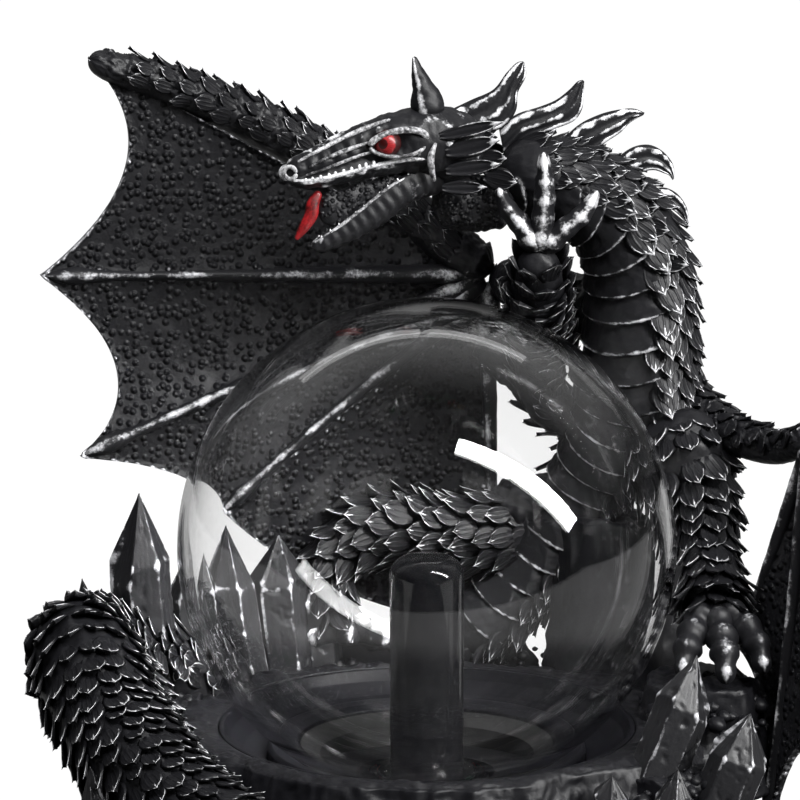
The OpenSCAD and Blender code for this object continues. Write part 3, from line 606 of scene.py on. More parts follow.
def fringe(l, start, end, pitch, turn, length, width, lean, seed=1):
    """One row of long leaves. Each points down + lean x along + droop x out, so it lies round the limb, away from
    its back, and leans along it."""
    thick, sink, droop = 2.0, 1.0, 0.5
    s = np.arange(start, end, pitch)
    k = np.clip(np.searchsorted(l["s"], s), 0, len(l["s"]) - 1)
    out = unit(np.cos(turn) * l["back"][k] + np.sin(turn) * l["side"][k])
    down = np.sign(turn) * unit(-np.sin(turn) * l["back"][k] + np.cos(turn) * l["side"][k])
    chance = scattered(np.stack([s, s * 0], axis=1), seed)[:, None] - 0.5
    along = unit(down + lean * l["along"][k] + 0.5 * chance * l["along"][k] + droop * out)
    up = unit(out - (out * along).sum(1, keepdims=True) * along)
    spots = l["centre"][k] + (l["r"][k][:, None] - sink) * out
    size = 1 + 0.3 * chance[:, 0]
    return leaves_at(spots, np.cross(along, up), along, up, width * size, length * size, thick, 0.05, 30,
                     leaf(pointed=0.9))


tail_limb = limb(TAIL, 400, TAIL_BACKS)
tail_limb["r"] = tail_limb["r"] - 2.2
turn = angles(100)[None]
tail_points = on_limb(tail_limb, turn)
lumps = rough(tail_points, 3.0, 3, 8)
tail_points = tail_points + 0.5 * lumps[..., None] * unit(tail_points - tail_limb["centre"][:, None])
make_piece("tail_skin", grid_patch(np.maximum(tail_points, [-200, -200, 0.6]), 0.14 + 0.12 * lumps), scale_paint,
           "cast_resin", "tail")
tail_scales = leaf_rows(tail_limb, 8, tail_limb["s"][-1] - 4, 5.0, 6.8, np.radians(-140), np.radians(118), 8.8,
                        thick=2.1, lift=0.30, towards=1, seed=6)
tail_fringe = fringe(tail_limb, 30, tail_limb["s"][-1] - 40, 6.5, np.radians(-112), 13, 8, 0.5, seed=4)
make_piece("tail_scales", joined(tail_scales, tail_fringe), scale_paint, "cast_resin")

# %% [markdown]
# ## Legs, arm and claws
# The same limbs again, with leaves above the ankle and smooth fingers with knuckles below it. On the casting
# the skin between the leaves is lumpy, so every limb has a rough skin and a separate coat of leaves on it.

# %% Legs and arm
ARM = [[56, 72, 138, 11], [40, 75, 146, 10], [37, 62, 166, 9], [34, 41, 181, 9.5], [34, 32, 190, 8],
       [34, 28, 199, 6.5]]
HAND_TIPS = [[[29, 27, 205, 3.4], [24, 27, 211, 2.8], [21.5, 28, 217, 1.2]],
             [[35, 26, 208, 3.4], [35.5, 25, 218, 3], [35, 26, 228, 1.2]],
             [[41, 27, 204, 3.4], [47, 27, 209, 2.8], [51.5, 28, 216, 1.2]]]
NEAR_LEG = [[76, 62, 140, 15], [80, 52, 130, 15.5], [84, 48, 120, 12], [87, 40, 106, 9], [88, 28, 96, 9.5],
            [88, 18, 88, 9]]
NEAR_TOES = [[[83, 12, 86, 5], [79, 3, 80, 4.2], [77, -3, 72, 2]],
             [[89, 10, 85, 5], [90, 0, 79, 4.2], [90, -6, 71, 2]],
             [[95, 12, 86, 5], [100, 5, 81, 4], [102, -1, 73, 2]]]
FAR_LEG = [[37, 76, 102, 15], [12, 77, 98, 13], [-14, 77, 100, 12], [-30, 74, 92, 9.5], [-32, 70, 78, 8],
           [-28, 68, 70, 8]]
FAR_TOES = [[[-34, 65, 68, 4.5], [-40, 62, 66, 3]], [[-26, 64, 68, 4.5], [-25, 60, 66, 3]],
            [[-18, 66, 68, 4.5], [-12, 63, 66, 3]]]


def scaly_limb(points, steps, backs, seed, pitch=5.6, width=7.5, length=9.5, short=0):
    """A lumpy limb, r + 0.4 x rough noise, and its leaves, as two patches. The leaves end short of its tip."""
    l = limb(points, steps, backs)
    l["r"] = l["r"] - 0.8
    p = on_limb(l, angles(72)[None])
    lumps = rough(p, 3.0, 3, seed)
    p = p + 0.4 * lumps[..., None] * unit(p - l["centre"][:, None])
    scales = leaf_rows(l, 3, l["s"][-1] - short, pitch, width, np.radians(-150), np.radians(150), length,
                       thick=2.0, lift=0.3, towards=1, seed=seed)
    return grid_patch(clear_of_globe(p), 0.14 + 0.12 * lumps), scales


def digit(points, back, knuckle=5.5, swelling=0.05):
    """A finger or toe: the radius is r (1 + swelling x cos(2 pi s / knuckle)), so it swells at each knuckle."""
    l = limb(points, 60, back)
    wave = np.cos(2 * np.pi * l["s"] / knuckle)
    l["r"] = l["r"] * (1 + swelling * wave)
    turn = angles(24)[None]
    p = on_limb(l, turn, 0.25 * np.cos(3 * turn))
    p = p + 0.12 * noise(p, 2.2)[..., None] * unit(p - l["centre"][:, None])
    # front is a painted highlight: extra silver along the side of each finger or toe that faces its back vector,
    # towards the viewer.
    front = 0.22 * np.exp(-(from_back(turn) / 0.5) ** 2)
    shine = 0.30 + 1.25 * front + 0.08 * wave[:, None] + 0.22 * step(0.75, 0.95, l["s"] / l["s"][-1])[:, None]
    return grid_patch(p, shine + 0.10 * noise(p, 1.4))


arm_skin, arm_scales = scaly_limb(ARM, 120, [(0.3, 0.7, 0.4), (0.2, -0.3, 0.9), (0.1, -0.9, 0.2)], 11,
                                  pitch=5.0, width=6.5, length=8.5, short=8)
make_piece("arm_skin", arm_skin, scale_paint, "cast_resin", "raised_arm")
make_piece("arm_scales", arm_scales, scale_paint, "cast_resin")
make_piece("arm_fingers", joined(*[digit([[34, 29, 198, 5.0]] + tip, (0, -1, 0.1)) for tip in HAND_TIPS]),
           face_paint, "cast_resin")
NEAR_LEG_BACKS = [(0.6, -0.6, 0.3), (0.5, -0.8, 0), (0.2, -0.5, 0.8)]
leg_skin, leg_scales = scaly_limb(NEAR_LEG, 140, NEAR_LEG_BACKS, 12, pitch=5.4, width=8, short=5)
make_piece("near_leg_skin", leg_skin, scale_paint, "cast_resin", "near_leg")
make_piece("near_leg_scales", leg_scales, scale_paint, "cast_resin")
near_leg = limb(NEAR_LEG, 140, NEAR_LEG_BACKS)
ankle = near_leg["s"][-1]
ruffle = leaf_rows(near_leg, ankle - 12, ankle - 2, 4.5, 5.5, -np.pi, np.pi, 9, thick=2.2, lift=0.5, towards=1,
                   seed=3)
near_toes = [digit([[88, 17, 88, 6]] + toe, (0, -0.4, 0.9), 6.5, 0.11) for toe in NEAR_TOES]
make_piece("near_leg_toes", joined(ruffle, *near_toes), bone_paint, "cast_resin")
far_skin, far_scales = scaly_limb(FAR_LEG, 110, [(0, -0.6, 0.8), (-0.7, -0.5, 0.5), (-0.5, -0.85, 0.1)], 13)
make_piece("far_leg_skin", far_skin, scale_paint, "cast_resin", "far_leg")
make_piece("far_leg_scales", far_scales, scale_paint, "cast_resin")
make_piece("far_leg_toes", joined(*[digit([[-28, 68, 70, 5.5]] + toe, (0, -0.4, 0.9), 6)
                                    for toe in FAR_TOES]), face_paint, "cast_resin")

# %% [markdown]
# ## The head
# The skull is a limb whose section is taller than it is wide. It could be sculpted from a ball, but its hollows
# and wrinkles are simple bells and waves of the turn round it, so they are added to the radius. Ridges, lips
# and eye rims come later as thin limbs laid over it, as a sculptor adds rolls of clay.

# %% Skull
SKULL = [[16, 41, 223, 11.5], [4, 36, 229.5, 11.2], [-8, 31, 230.3, 9.6], [-18, 27.5, 228, 8.2],
         [-28, 24.5, 224.8, 6.6], [-36, 22.2, 222.6, 5.2], [-42.5, 20.3, 221.3, 3.9]]
EYES = [np.array([-12, 23.5, 231]), np.array([-8, 39, 231])]
head_limb = limb(SKULL, 130, (0, 0.1, 1))
share = (head_limb["s"] / head_limb["s"][-1])[:, None]
head_limb["wide"] = np.interp(share, [0, 0.3, 0.6, 1], [0.95, 0.86, 0.66, 0.9])
turn = angles(80)[None]
cheek_hollow = -1.1 * np.exp(-((from_back(turn) - 1.75) / 0.28) ** 2) * step(0.35, 0.6, share)
lip = 0.9 * np.exp(-((from_back(turn) - 2.15) / 0.2) ** 2) * step(0.3, 0.5, share)
wrinkles = 0.35 * np.sin(share * 95) * step(0.5, 0.7, share) * np.exp(-((from_back(turn) - 0.9) / 0.6) ** 2)
nose_ridge = 0.9 * np.exp(-(from_back(turn) / 0.22) ** 2) * step(0.4, 0.7, share)
head_lift = cheek_hollow + lip + wrinkles + nose_ridge
head_points = on_limb(head_limb, turn, head_lift)
lumps = rough(head_points, 2.4, 3, 21)
head_points = head_points + 0.35 * lumps[..., None] * unit(head_points - head_limb["centre"][:, None])
for eye in EYES:
    away_from_eye = np.linalg.norm((head_points - eye) * [0.75, 1, 1.1], axis=-1)
    head_points = head_points + (0.30 * np.exp(-(away_from_eye / 4.2) ** 4))[..., None] * (
        head_limb["centre"][:, None] - head_points)
head_relief = 0.30 + 0.25 * head_lift + 0.2 * lumps
make_piece("skull_skin", grid_patch(head_points, head_relief), face_paint, "cast_resin", "head")

# %% [markdown]
# ## The mouth
# It is open. The lower jaw is a thin limb, and pebbled flesh joins it to the skull: a flat web in each corner
# and a throat behind. A cloth would sag between the jaws, but cast flesh is stiff, so both are limbs.

# %% Lower jaw and mouth
JAW = [[5, 36, 220, 5.5], [-7, 31.3, 216.2, 4.8], [-15, 28.5, 210.5, 4.8], [-24, 25.3, 204.6, 3.8],
       [-32, 22.4, 200.4, 2.4], [-35, 21.6, 199.6, 1.2]]
jaw_limb = limb(JAW, 90, (-0.3, 0, 1), wide=0.95)
turn = angles(40)[None]
jaw_lift = 0.6 * np.exp(-((from_back(turn) - 0.75) / 0.25) ** 2) - 1.4 * np.exp(-(from_back(turn) / 0.4) ** 2)
jaw_points = on_limb(jaw_limb, turn, jaw_lift + 0.16 * np.sin(jaw_limb["s"][:, None] * 1.9) * (from_back(turn) > 1))
make_piece("jaw_skin", grid_patch(jaw_points, 0.3 + 0.3 * jaw_lift + 0.2 * noise(jaw_points, 2)), face_paint,
           "cast_resin", "lower_jaw")
web = tube([[0, 34, 218, 4], [-12, 29.5, 215.5, 5], [-24, 25.5, 212, 5.6], [-33, 22.8, 209.5, 5.6]], 70, 40,
           (0.3, 0.1, 1), 0.2, wide=0.4, grain=0.8)
throat = tube([[2, 35, 213, 7.5], [12, 39, 211, 8.5], [27, 45, 210, 9]], 60, 50, (0, 0.1, 1), 0.3, grain=1.2)
make_piece("mouth_flesh", joined(web, throat), flesh_paint, "cast_resin")


def beside(l, places, turn, lift=0.0):
    """Points on a limb's surface at shares of its length, as a route for a ridge: centre + (r + lift)(cos turn x
    back + sin turn x wide x side)."""
    k = np.clip((np.asarray(places) * (len(l["s"]) - 1)).astype(int), 0, len(l["s"]) - 1)
    wide = np.broadcast_to(l["wide"], (len(l["s"]), 1))[k, 0]
    up = (l["r"][k] + lift) * np.cos(turn)
    across = (l["r"][k] * wide + lift) * np.sin(turn)
    return l["centre"][k] + up[:, None] * l["back"][k] + across[:, None] * l["side"][k]


def ridge(points, radii, steps=60, around=8, relief=0.8):
    """A thin limb through points, with a radius at each."""
    return tube(np.column_stack([points, radii]), steps, around, relief=relief)


def teeth(l, places, turn, length, lean, size):
    """Small cones on the lip. A cone's point is root + x size x side + y size x out + z length x lean."""
    roots = beside(l, places, turn, -0.4)
    cone = tube([[0, 0, 0, 1], [0, 0, 0.5, 0.8], [0, 0, 1, 0.12]], 7, 6, (0, 1, 0), 0.85)
    side, tip = np.array([0.92, 0.38, 0.0]), unit(np.array(lean, float))
    out = np.cross(tip, side)
    x, y, z = cone[0].T
    chance = 1 + 0.5 * (scattered(np.arange(len(roots))[:, None], 5) - 0.5)[:, None]
    places = (roots[:, None] + (x * size)[None, :, None] * side + (y * size)[None, :, None] * out
              + (z * length * chance)[..., None] * tip)
    return copies(cone, places)


print("the jaw is", round(jaw_limb["s"][-1], 1), "mm long")

# %% [markdown]
# ## Ridges, teeth and eye rims
# On the casting these are thin rolls with silver on top. Edges could be drawn in the paint only, but a roll
# catches the light on one side and throws a shadow on the other. Each follows the skull or the jaw, so its
# route is read off that limb's surface.

# %% Ridges of the face
face = []
for sign in (-1, 1):
    face.append(ridge(beside(head_limb, [0.95, 0.85, 0.72, 0.6, 0.48], sign * np.array([0.7, 0.55, 0.5, 0.55, 0.6]),
                             0.2), [0.4, 0.6, 0.7, 0.8, 0.5], relief=0.55))
    face.append(ridge(beside(head_limb, [0.99, 0.9, 0.75, 0.6, 0.45, 0.36], sign * 2.1, 0.25),
                      [0.6, 0.75, 0.7, 0.7, 0.8, 0.4], relief=0.6))
    face.append(ridge(beside(head_limb, [0.93, 0.8, 0.66, 0.56], sign * np.array([1.7, 1.6, 1.55, 1.6]), 0.1),
                      [0.35, 0.5, 0.5, 0.3], relief=0.5))
    face.append(ridge(beside(head_limb, [0.9, 0.8, 0.7, 0.6], sign * np.array([1.3, 1.15, 1.15, 1.2]), 0.1),
                      [0.3, 0.6, 0.7, 0.4], relief=0.5))
    face.append(ridge(beside(jaw_limb, [0.99, 0.8, 0.6, 0.35, 0.12], sign * 0.8, 0.1), [0.5, 0.6, 0.6, 0.6, 0.4],
                      relief=0.6))
    face.append(teeth(head_limb, np.linspace(0.6, 0.93, 10), sign * 1.9, 1.7, (0, sign * 0.25, -1), 0.8))
    face.append(teeth(jaw_limb, np.linspace(0.25, 0.93, 11), sign * 0.85, 1.5, (-0.2, sign * 0.1, 1), 0.6))
make_piece("face_ridges", joined(*face), face_paint, "cast_resin")


# %% Eye rims and nostrils
def eye_rim(eye, sign):
    """An almond loop round an eye and its corner: x = 8.6 cos a, z = 3.9 sin a (1 + 0.15 cos a), a little tilted."""
    a = np.linspace(-np.pi, np.pi, 25)
    x, z = 8.6 * np.cos(a), 3.9 * np.sin(a) * (1 + 0.15 * np.cos(a))
    tilt = np.radians(5)
    y = sign * (1.6 - 0.020 * x ** 2)
    loop = np.stack([eye[0] + 3.4 + x * np.cos(tilt) - z * np.sin(tilt), eye[1] + y - 0.30 * x * sign,
                     eye[2] + x * np.sin(tilt) + z * np.cos(tilt)], axis=1)
    thick = np.where(np.sin(a) > 0, 1.05, 0.6)
    return ridge(loop, thick, 110, 10, 0.55)


def nostril(sign):
    """A small ring on the snout: 1.3 (1.4 cos a, 0.5 cos a, 1.4 sin a) round a point beside its end."""
    a = np.linspace(0, 2 * np.pi, 13)
    circle = np.stack([1.4 * np.cos(a), 0.5 * sign * np.cos(a), 1.4 * np.sin(a)], axis=1)
    return ridge(beside(head_limb, [0.985], sign * 1.2, -0.2) + 1.3 * circle, np.full(13, 0.7), 40, 8, 0.6)


nostrils = [nostril(sign) for sign in (-1, 1)]
make_piece("eye_rims", joined(eye_rim(EYES[0], -1), eye_rim(EYES[1], 1), *nostrils), face_paint, "cast_resin")


# %% [markdown]
# ## Frills, mane and horn
# Ribbed leaves sweep back from the cheeks, and flame-shaped fins stand along the neck. A flat plane with a
# Solidify modifier would have square edges. A fin here is a closed sheet whose thickness swells from edge to
# edge, so that its rim is round and takes the brush.

# %% Cheek frills
def big_leaf(root, tip, out, width, thick=2.6, lift=0.15):
    """One large leaf from its root to its tip, with its ribbed face towards out."""
    root, tip, out = (np.array(v, float)[None] for v in (root, tip, out))
    along = unit(tip - root)
    out = unit(out - (out * along).sum() * along)
    length = np.linalg.norm(tip - root)
    bend = 14.0
    return leaves_at(root, np.cross(along, out), along, out, width, length, thick, lift, bend,
                     leaf(14, 13, 0.8))


frills = []
for sign, y in ((-1, 27.5), (1, 47.5)):
    facing = (-0.25, sign, 0.2)
    for x, z, dx, dz, width in ((3, 232.5, 20, 4, 4.6), (5, 227.6, 17, 3.6, 6.4), (5, 222, 17, 2, 5.4),
                                (4, 217, 14, 0, 4.6)):
        frills.append(big_leaf((x, y + sign * 0.8, z), (x + dx, y + 4 + sign * 4.5, z + dz), facing, width, 3.2))
    frills.append(ridge([(2.5, y + sign * 1.6, 231), (1, y + sign * 2, 226), (2, y + sign * 1.6, 219)],
                        [0.6, 1.1, 0.7], relief=0.55))
make_piece("cheek_frills", joined(*frills), face_paint, "cast_resin")

# %% Mane
def fin(upper, lower, y, lean, thick, columns=44, rows=50):
    """A flame-shaped fin between an upper and a lower edge curve (X and Z of points from root to tip). Across it,
    v runs from edge to edge: its half thickness is thick x sin(pi v)^0.5, and ribs follow its length."""
    high, low = (smooth_route([[x, 0, z, 1] for x, z in edge], rows)[0] for edge in (upper, lower))
    v = (0.5 - 0.5 * np.cos(np.linspace(0.06, np.pi - 0.06, columns)))[None]
    u = np.linspace(0, 1, rows)[:, None]
    x = low[:, :1] * (1 - v) + high[:, :1] * v
    z = low[:, 2:3] * (1 - v) + high[:, 2:3] * v
    middle = y + lean * u ** 1.5
    ribs = np.cos(v * np.pi * 5) * np.sin(np.pi * v) ** 0.5
    rim = np.exp(-((v - 0.10) / 0.07) ** 2) + np.exp(-((0.90 - v) / 0.07) ** 2)
    half = thick * (1 - 0.72 * u) * (np.sin(np.pi * v) ** 0.5 + 0.16 * ribs + 0.25 * rim) + 0.12
    near = np.stack([x, middle - half, z], axis=-1)
    far = np.stack([x, middle + half, z], axis=-1)
    shine = 0.24 + 0.38 * rim + 0.30 * ribs + 0.28 * rough(near, 2.4, 2, 3)
    loop = np.concatenate([near, far[:, ::-1]], axis=1)
    shine = np.clip(np.concatenate([shine, shine[:, ::-1]], axis=1), 0, 1)
    return grid_patch(loop, shine)


MANE_FINS = [([(0, 235), (4, 237.5), (13, 241.8), (20, 245), (24, 250), (27, 253), (29, 253.6)],
              [(6, 224), (14, 230), (23, 233.5), (27, 238.5), (27.6, 244), (30, 249), (29.6, 253)], 42, 3, 2.6),
             ([(22, 232), (27, 236.5), (34.6, 239), (39.5, 241), (43.5, 244), (46, 246.5), (47.6, 247)],
              [(24, 222), (31, 229), (39, 232), (45, 234.5), (47.5, 238), (48, 242), (48.2, 246.6)], 50, 3, 2.6),
             ([(40, 227), (46.5, 233), (53, 236.2), (58.7, 237.6), (63.5, 237.9), (67, 236.6)],
              [(42, 216), (49, 223), (55, 227.5), (59.5, 230.5), (62.5, 233.5), (66.6, 235.8)], 53, 3, 2.6),
             ([(52, 212), (57, 220.5), (62.6, 225.4), (68.2, 226.6), (72.8, 224.5), (76, 220.5), (76.6, 216)],
              [(58, 205), (61, 213.5), (65.8, 217.6), (70, 218.6), (73.2, 217.6), (75, 216.8), (76, 215.4)], 55, 3,
              2.6),
             ([(60, 203), (66, 210), (72, 213), (77, 211.5), (80.5, 207), (81.5, 202)],
              [(62, 194), (67, 202.5), (72, 206.5), (76, 206), (79, 203.5), (81, 201)], 57, 3, 2.4)]
crest = [fin(*shape) for shape in MANE_FINS]
make_piece("mane_fins", joined(*crest), face_paint, "cast_resin", "mane_spikes")
skirt = []
for upper, lower, y, _, _ in MANE_FINS:
    x, z = lower[1]
    for sign in (-1, 1):
        for k in range(3):
            root = (x - 3 + 3 * k, y + sign * (4 + 3.2 * k), z - 1.5 - 4.2 * k)
            skirt.append(big_leaf(root, (root[0] + 11, root[1] + sign * 3, root[2] + 2 - 2.2 * k),
                                  (-0.2, sign, 0.7 - 0.2 * k), 7.5, 2.6, 0.2))
make_piece("mane_skirt", joined(*skirt), scale_paint, "cast_resin")

# %% Horn
horn = limb([[0.6, 34, 237, 6.6], [-0.4, 33.6, 243, 4.9], [-1.8, 33, 248, 3.1], [-3.2, 32.6, 252.5, 1.9],
             [-4.1, 32.4, 256.3, 0.7]], 60, (0, -1, 0.1))
turn = angles(36)[None]
# A low ridge down the horn's front, a little to the left. Its silver is partly dry brush on the ridge and partly a
# painted highlight, 0.42 more relief along the side towards the viewer.
ridge_and_highlight = np.exp(-(((turn + 0.35 + np.pi) % (2 * np.pi) - np.pi) / 0.32) ** 2)
horn_points = on_limb(horn, turn, 0.35 * ridge_and_highlight)
horn_points = horn_points + 0.25 * rough(horn_points, 3, 2, 6)[..., None] * unit(
    horn_points - horn["centre"][:, None])
make_piece("horn", grid_patch(horn_points, 0.26 + 0.42 * ridge_and_highlight + 0.12 * noise(horn_points, 2)), face_paint,
           "cast_resin", "forehead_horn")

# %% [markdown]
# ## Wings
# A wing is a hand: one arm, and fingers with skin between them. Between two finger tips the free edge of the
# skin hangs in a curve, and every point of the skin lies on a line from the wrist to that edge. A cloth
# simulation would hang it much the same, but the cast skin is stiff and known, so a parabola is enough.

# %% Wings
LEFT_HUB = [20, 83, 182]
LEFT_TIPS = [[-104, 48, 254, 2.5], [-119.5, 46, 187, 1.5], [-108, 46, 130, 1.5], [-68, 60, 110, 1.5],
             [22, 84, 66, 2]]
LEFT_BAYS = [[-93, 53, 221], [-97, 54, 156], [-79, 58, 122], [-26, 80, 78]]
LEFT_ARM = [[20, 83, 182, 8], [-20, 79, 212, 8.5], [-50, 70, 230, 8], [-78, 58, 244, 7], [-97, 51, 251, 5.5],
            [-104, 48, 254, 3.5]]
LEFT_ROOT = [[20, 83, 182, 8], [44, 78, 174, 10], [58, 70, 168, 11]]
RIGHT_HUB = [116.5, 12, 142]
RIGHT_TIPS = [[116, 46, 46, 1.5], [97, 28, 74, 1.5], [104, -2, 26, 1.5], [115, -26, 36, 1.5]]
RIGHT_BAYS = [[106, 36, 70], [104, 12, 58], [112, -12, 52]]
RIGHT_ARM = [[74, 70, 150, 9], [92, 54, 138, 7], [106, 32, 136, 6], [116.5, 12, 142, 4.5]]


def wing_skin(hub, tips, bays, face, columns=70, rows=130, billow=2.0):
    """Skin point = hub + t (edge(f) - hub), t from wrist to edge and f across a bay. The edge between two tips
    is a parabola through the deepest point, and the skin swells by billow x sin(pi f) x t (1 - t) x 4."""
    hub, tips, bays = (np.array(a, float) for a in (hub, tips, bays))
    tips = tips[:, :3]
    count = len(bays)
    f = np.linspace(0, count, columns * count + 1)
    bay = np.minimum(f.astype(int), count - 1)
    g = (f - bay)[:, None]
    control = 2 * bays - (tips[:-1] + tips[1:]) / 2
    edge = (1 - g) ** 2 * tips[bay] + 2 * g * (1 - g) * control[bay] + g ** 2 * tips[bay + 1]
    t = (np.linspace(0.03, 1, rows) ** 0.8)[:, None, None]
    skin = hub + t * (edge - hub)[None]
    normal = unit(np.cross(np.gradient(skin, axis=0), np.gradient(skin, axis=1)))
    normal = normal * np.sign(np.nanmean(normal @ np.array(face, float)))
    swell = (np.sin(np.pi * g[:, 0])[None] * 4 * t[..., 0] * (1 - t[..., 0]))
    skin = skin - (billow * swell)[..., None] * normal
    wrinkle = 0.5 * np.sin(g[:, 0][None] * 9 + 6 * t[..., 0]) * t[..., 0] * swell
    hem = np.exp(-((1 - t[..., 0]) * np.linalg.norm(edge - hub, axis=-1)[None] / 1.1) ** 2)
    tendon = np.exp(-(np.minimum(g[:, 0], 1 - g[:, 0])[None] * t[..., 0] * 60 / 2.2) ** 2)
    thick = 0.75 + 0.55 * hem + 0.9 * tendon * (1 - 0.6 * t[..., 0])
    mottled = rough(skin, 7.0, 3, 4)
    front = skin + (thick + 0.35 * mottled + wrinkle)[..., None] * normal
    rear = skin - (thick + 0.30 * mottled)[..., None] * normal
    relief = np.clip(0.10 + 0.55 * hem + 0.45 * tendon + 0.10 * mottled, 0, 1)
    loop = np.concatenate([front, rear[:, ::-1]], axis=1)
    relief = np.concatenate([relief, relief[:, ::-1]], axis=1)
    if np.cross(skin[5, 6] - skin[5, 5], skin[6, 5] - skin[5, 5]) @ normal[5, 5] < 0:
        loop, relief = loop[:, ::-1], relief[:, ::-1]
    return grid_patch(loop, relief, sheet=True)


def finger_bone(hub, tip, face, start_r, middle_r):
    """A tapered finger that swells into a small leaf before its pointed tip. Along its front runs a spine of
    0.45 exp(-(turn / 0.35)^2)."""
    hub, end = np.array(hub, float), np.array(tip[:3], float)
    share = np.array([0.02, 0.25, 0.5, 0.75, 0.86, 0.93, 0.985, 1.0])
    radius = np.array([start_r, (start_r + middle_r) / 2, middle_r, middle_r * 0.8, middle_r * 0.9,
                       middle_r * 1.35, middle_r * 0.6, 0.25])
    l = limb(np.column_stack([hub + share[:, None] * (end - hub), radius]), 150, face)
    turn = angles(20)[None]
    spine = 0.45 * np.exp(-(from_back(turn) / 0.35) ** 2)
    p = on_limb(l, turn, spine)
    p = p + 0.12 * rough(p, 3, 2, 9)[..., None] * unit(p - l["centre"][:, None])
    # The silver is partly dry brush on the spine and partly a painted highlight: a broad band, exp(-(turn / 0.8)^2),
    # along the side the wing faces, towards the viewer.
    shine = 0.34 + 0.34 * np.exp(-(from_back(turn) / 0.8) ** 2) + 0.14 * noise(p, 3.5)
    return grid_patch(p, shine)


def wing(name, hub, tips, bays, face, start_r, middle_r, node, **how):
    """A wing's two pieces: its skin, and a finger to every tip but the first, where the arm goes."""
    make_piece(f"{name}_skin", wing_skin(hub, tips, bays, face, **how), skin_paint, "cast_resin", node)
    bones = [finger_bone(hub, tip, face, start_r, middle_r) for tip in tips[1:]]
    make_piece(f"{name}_fingers", joined(*bones), bone_paint, "cast_resin")


wing("left_wing", LEFT_HUB, LEFT_TIPS, LEFT_BAYS, (-0.35, -0.93, 0.1), 3.4, 2.2, "left_wing")
wing("right_wing", RIGHT_HUB, RIGHT_TIPS, RIGHT_BAYS, (-0.9, -0.4, 0), 3.2, 2.0, "right_wing", rows=90)

# %% [markdown]
# ## Arms of the wings
# Each has bony cuffs and rows of small plates on its upper side. The cuffs are a saw-tooth again, with a
# ragged edge, and the plates are the leaves of the back, only smaller. Folds of skin fill the corner behind
# the globe, between the raised arm, the neck and the wing.

# %% Wing arms
def wing_arm(points, back, turns, seed, cuff=7.2):
    """The arm's cuffs: with q the fraction of a cuff, the height is 1.1 q^1.3 - 0.3, and noise round the arm makes
    each cuff's edge ragged."""
    l = limb(points, 260, back)
    l["r"] = l["r"] - 0.8
    turn = angles(90)[None]
    ragged = 1.6 * noise(np.stack(np.broadcast_arrays(turn * 3, l["s"][:, None] / 9, 0 * turn), axis=-1), 0.5)
    q = ((l["s"][:, None] + ragged) / cuff) % 1
    upper = step(np.radians(turns), np.radians(turns - 25), from_back(turn))
    p = on_limb(l, turn, upper * (1.1 * q ** 1.3 - 0.3))
    grain = rough(p, 1.8, 3, seed)
    p = p + (0.3 * grain * (0.4 + upper))[..., None] * unit(p - l["centre"][:, None])
    return l, grid_patch(p, 0.16 + 0.18 * grain + upper * 0.42 * q ** 3 + 0.16 * (1 - upper))


arm_limb, arm_patch = wing_arm(LEFT_ARM, (0.35, -0.55, 0.75), 105, 31)
make_piece("left_wing_arm", arm_patch, bone_paint, "cast_resin")
arm_leaves = leaf_rows(arm_limb, 14, arm_limb["s"][-1] - 16, 7.2, 4.6, np.radians(-85), np.radians(75), 8.2,
                       thick=1.7, lift=0.22, towards=1, seed=8)
make_piece("left_wing_cuffs", arm_leaves, scale_paint, "cast_resin")
_, root_patch = wing_arm(LEFT_ROOT, (0.2, -0.6, 0.7), 120, 32)
right_limb, right_patch = wing_arm(RIGHT_ARM, (0.4, -0.2, 0.9), 120, 33)
right_leaves = leaf_rows(right_limb, 6, right_limb["s"][-1] - 8, 6.5, 5, np.radians(-100), np.radians(100), 8,
                         thick=1.7, lift=0.22, towards=1, seed=9)
make_piece("left_wing_root", root_patch, bone_paint, "cast_resin")
make_piece("right_wing_arm", joined(right_patch, right_leaves), bone_paint, "cast_resin")
SHOULDER_FOLDS = [[[18, 84, 166, 7], [28, 81, 157, 8], [40, 77, 152, 8]],
                  [[20, 80, 105, 9], [34, 78, 108, 10], [46, 75, 110, 9]]]
folds = [tube(route, 50, 50, (0, -1, 0.2), 0.26, grain=1.4) for route in SHOULDER_FOLDS]
make_piece("shoulder_folds", joined(*folds), scale_paint, "cast_resin")

# %% [markdown]
# ## The rock
# The base is a ring: its surface goes up the outside, over the top, down into the seat, down the hollow and
# back. The outside is three ledges, each an ellipse that wanders, and noise breaks it into crags. Carving a
# displaced cylinder with booleans would leave a ragged recess for the rear panel, so rows and columns of the
# grid are put exactly on its edges.

# %% Rock base
LEDGES = [(104, 85, 3, 21, 0.97, 10), (98, 81, 20, 38, 0.95, 95), (91, 77, 37, 57, 0.91, 200)]


def ledge_point(a, z, rx, ry, low, high, taper, seed):
    """Ellipse point times 1 + 0.03 sin(seed + 5a) + 0.025 sin(2 seed + 9a), shrinking to taper at the top."""
    k = 1 + 0.03 * np.sin(np.radians(seed) + 5 * a) + 0.025 * np.sin(np.radians(2 * seed) + 9 * a)
    shrink = 1 + (taper - 1) * (np.clip(z, low, high) - low) / (high - low)
    return np.stack([rx * k * shrink * np.cos(a), ry * k * shrink * np.sin(a)], axis=-1)


def ledge_outline(a, z):
    """The ledges joined: each gives way to the next over a few millimetres of height."""
    points = ledge_point(a, z, *LEDGES[0])
    for lower, ledge in zip(LEDGES, LEDGES[1:]):
        change = step(lower[3] - 2.5, lower[3] + 0.5, z)[..., None]
        points = points * (1 - change) + ledge_point(a, z, *ledge) * change
    return points


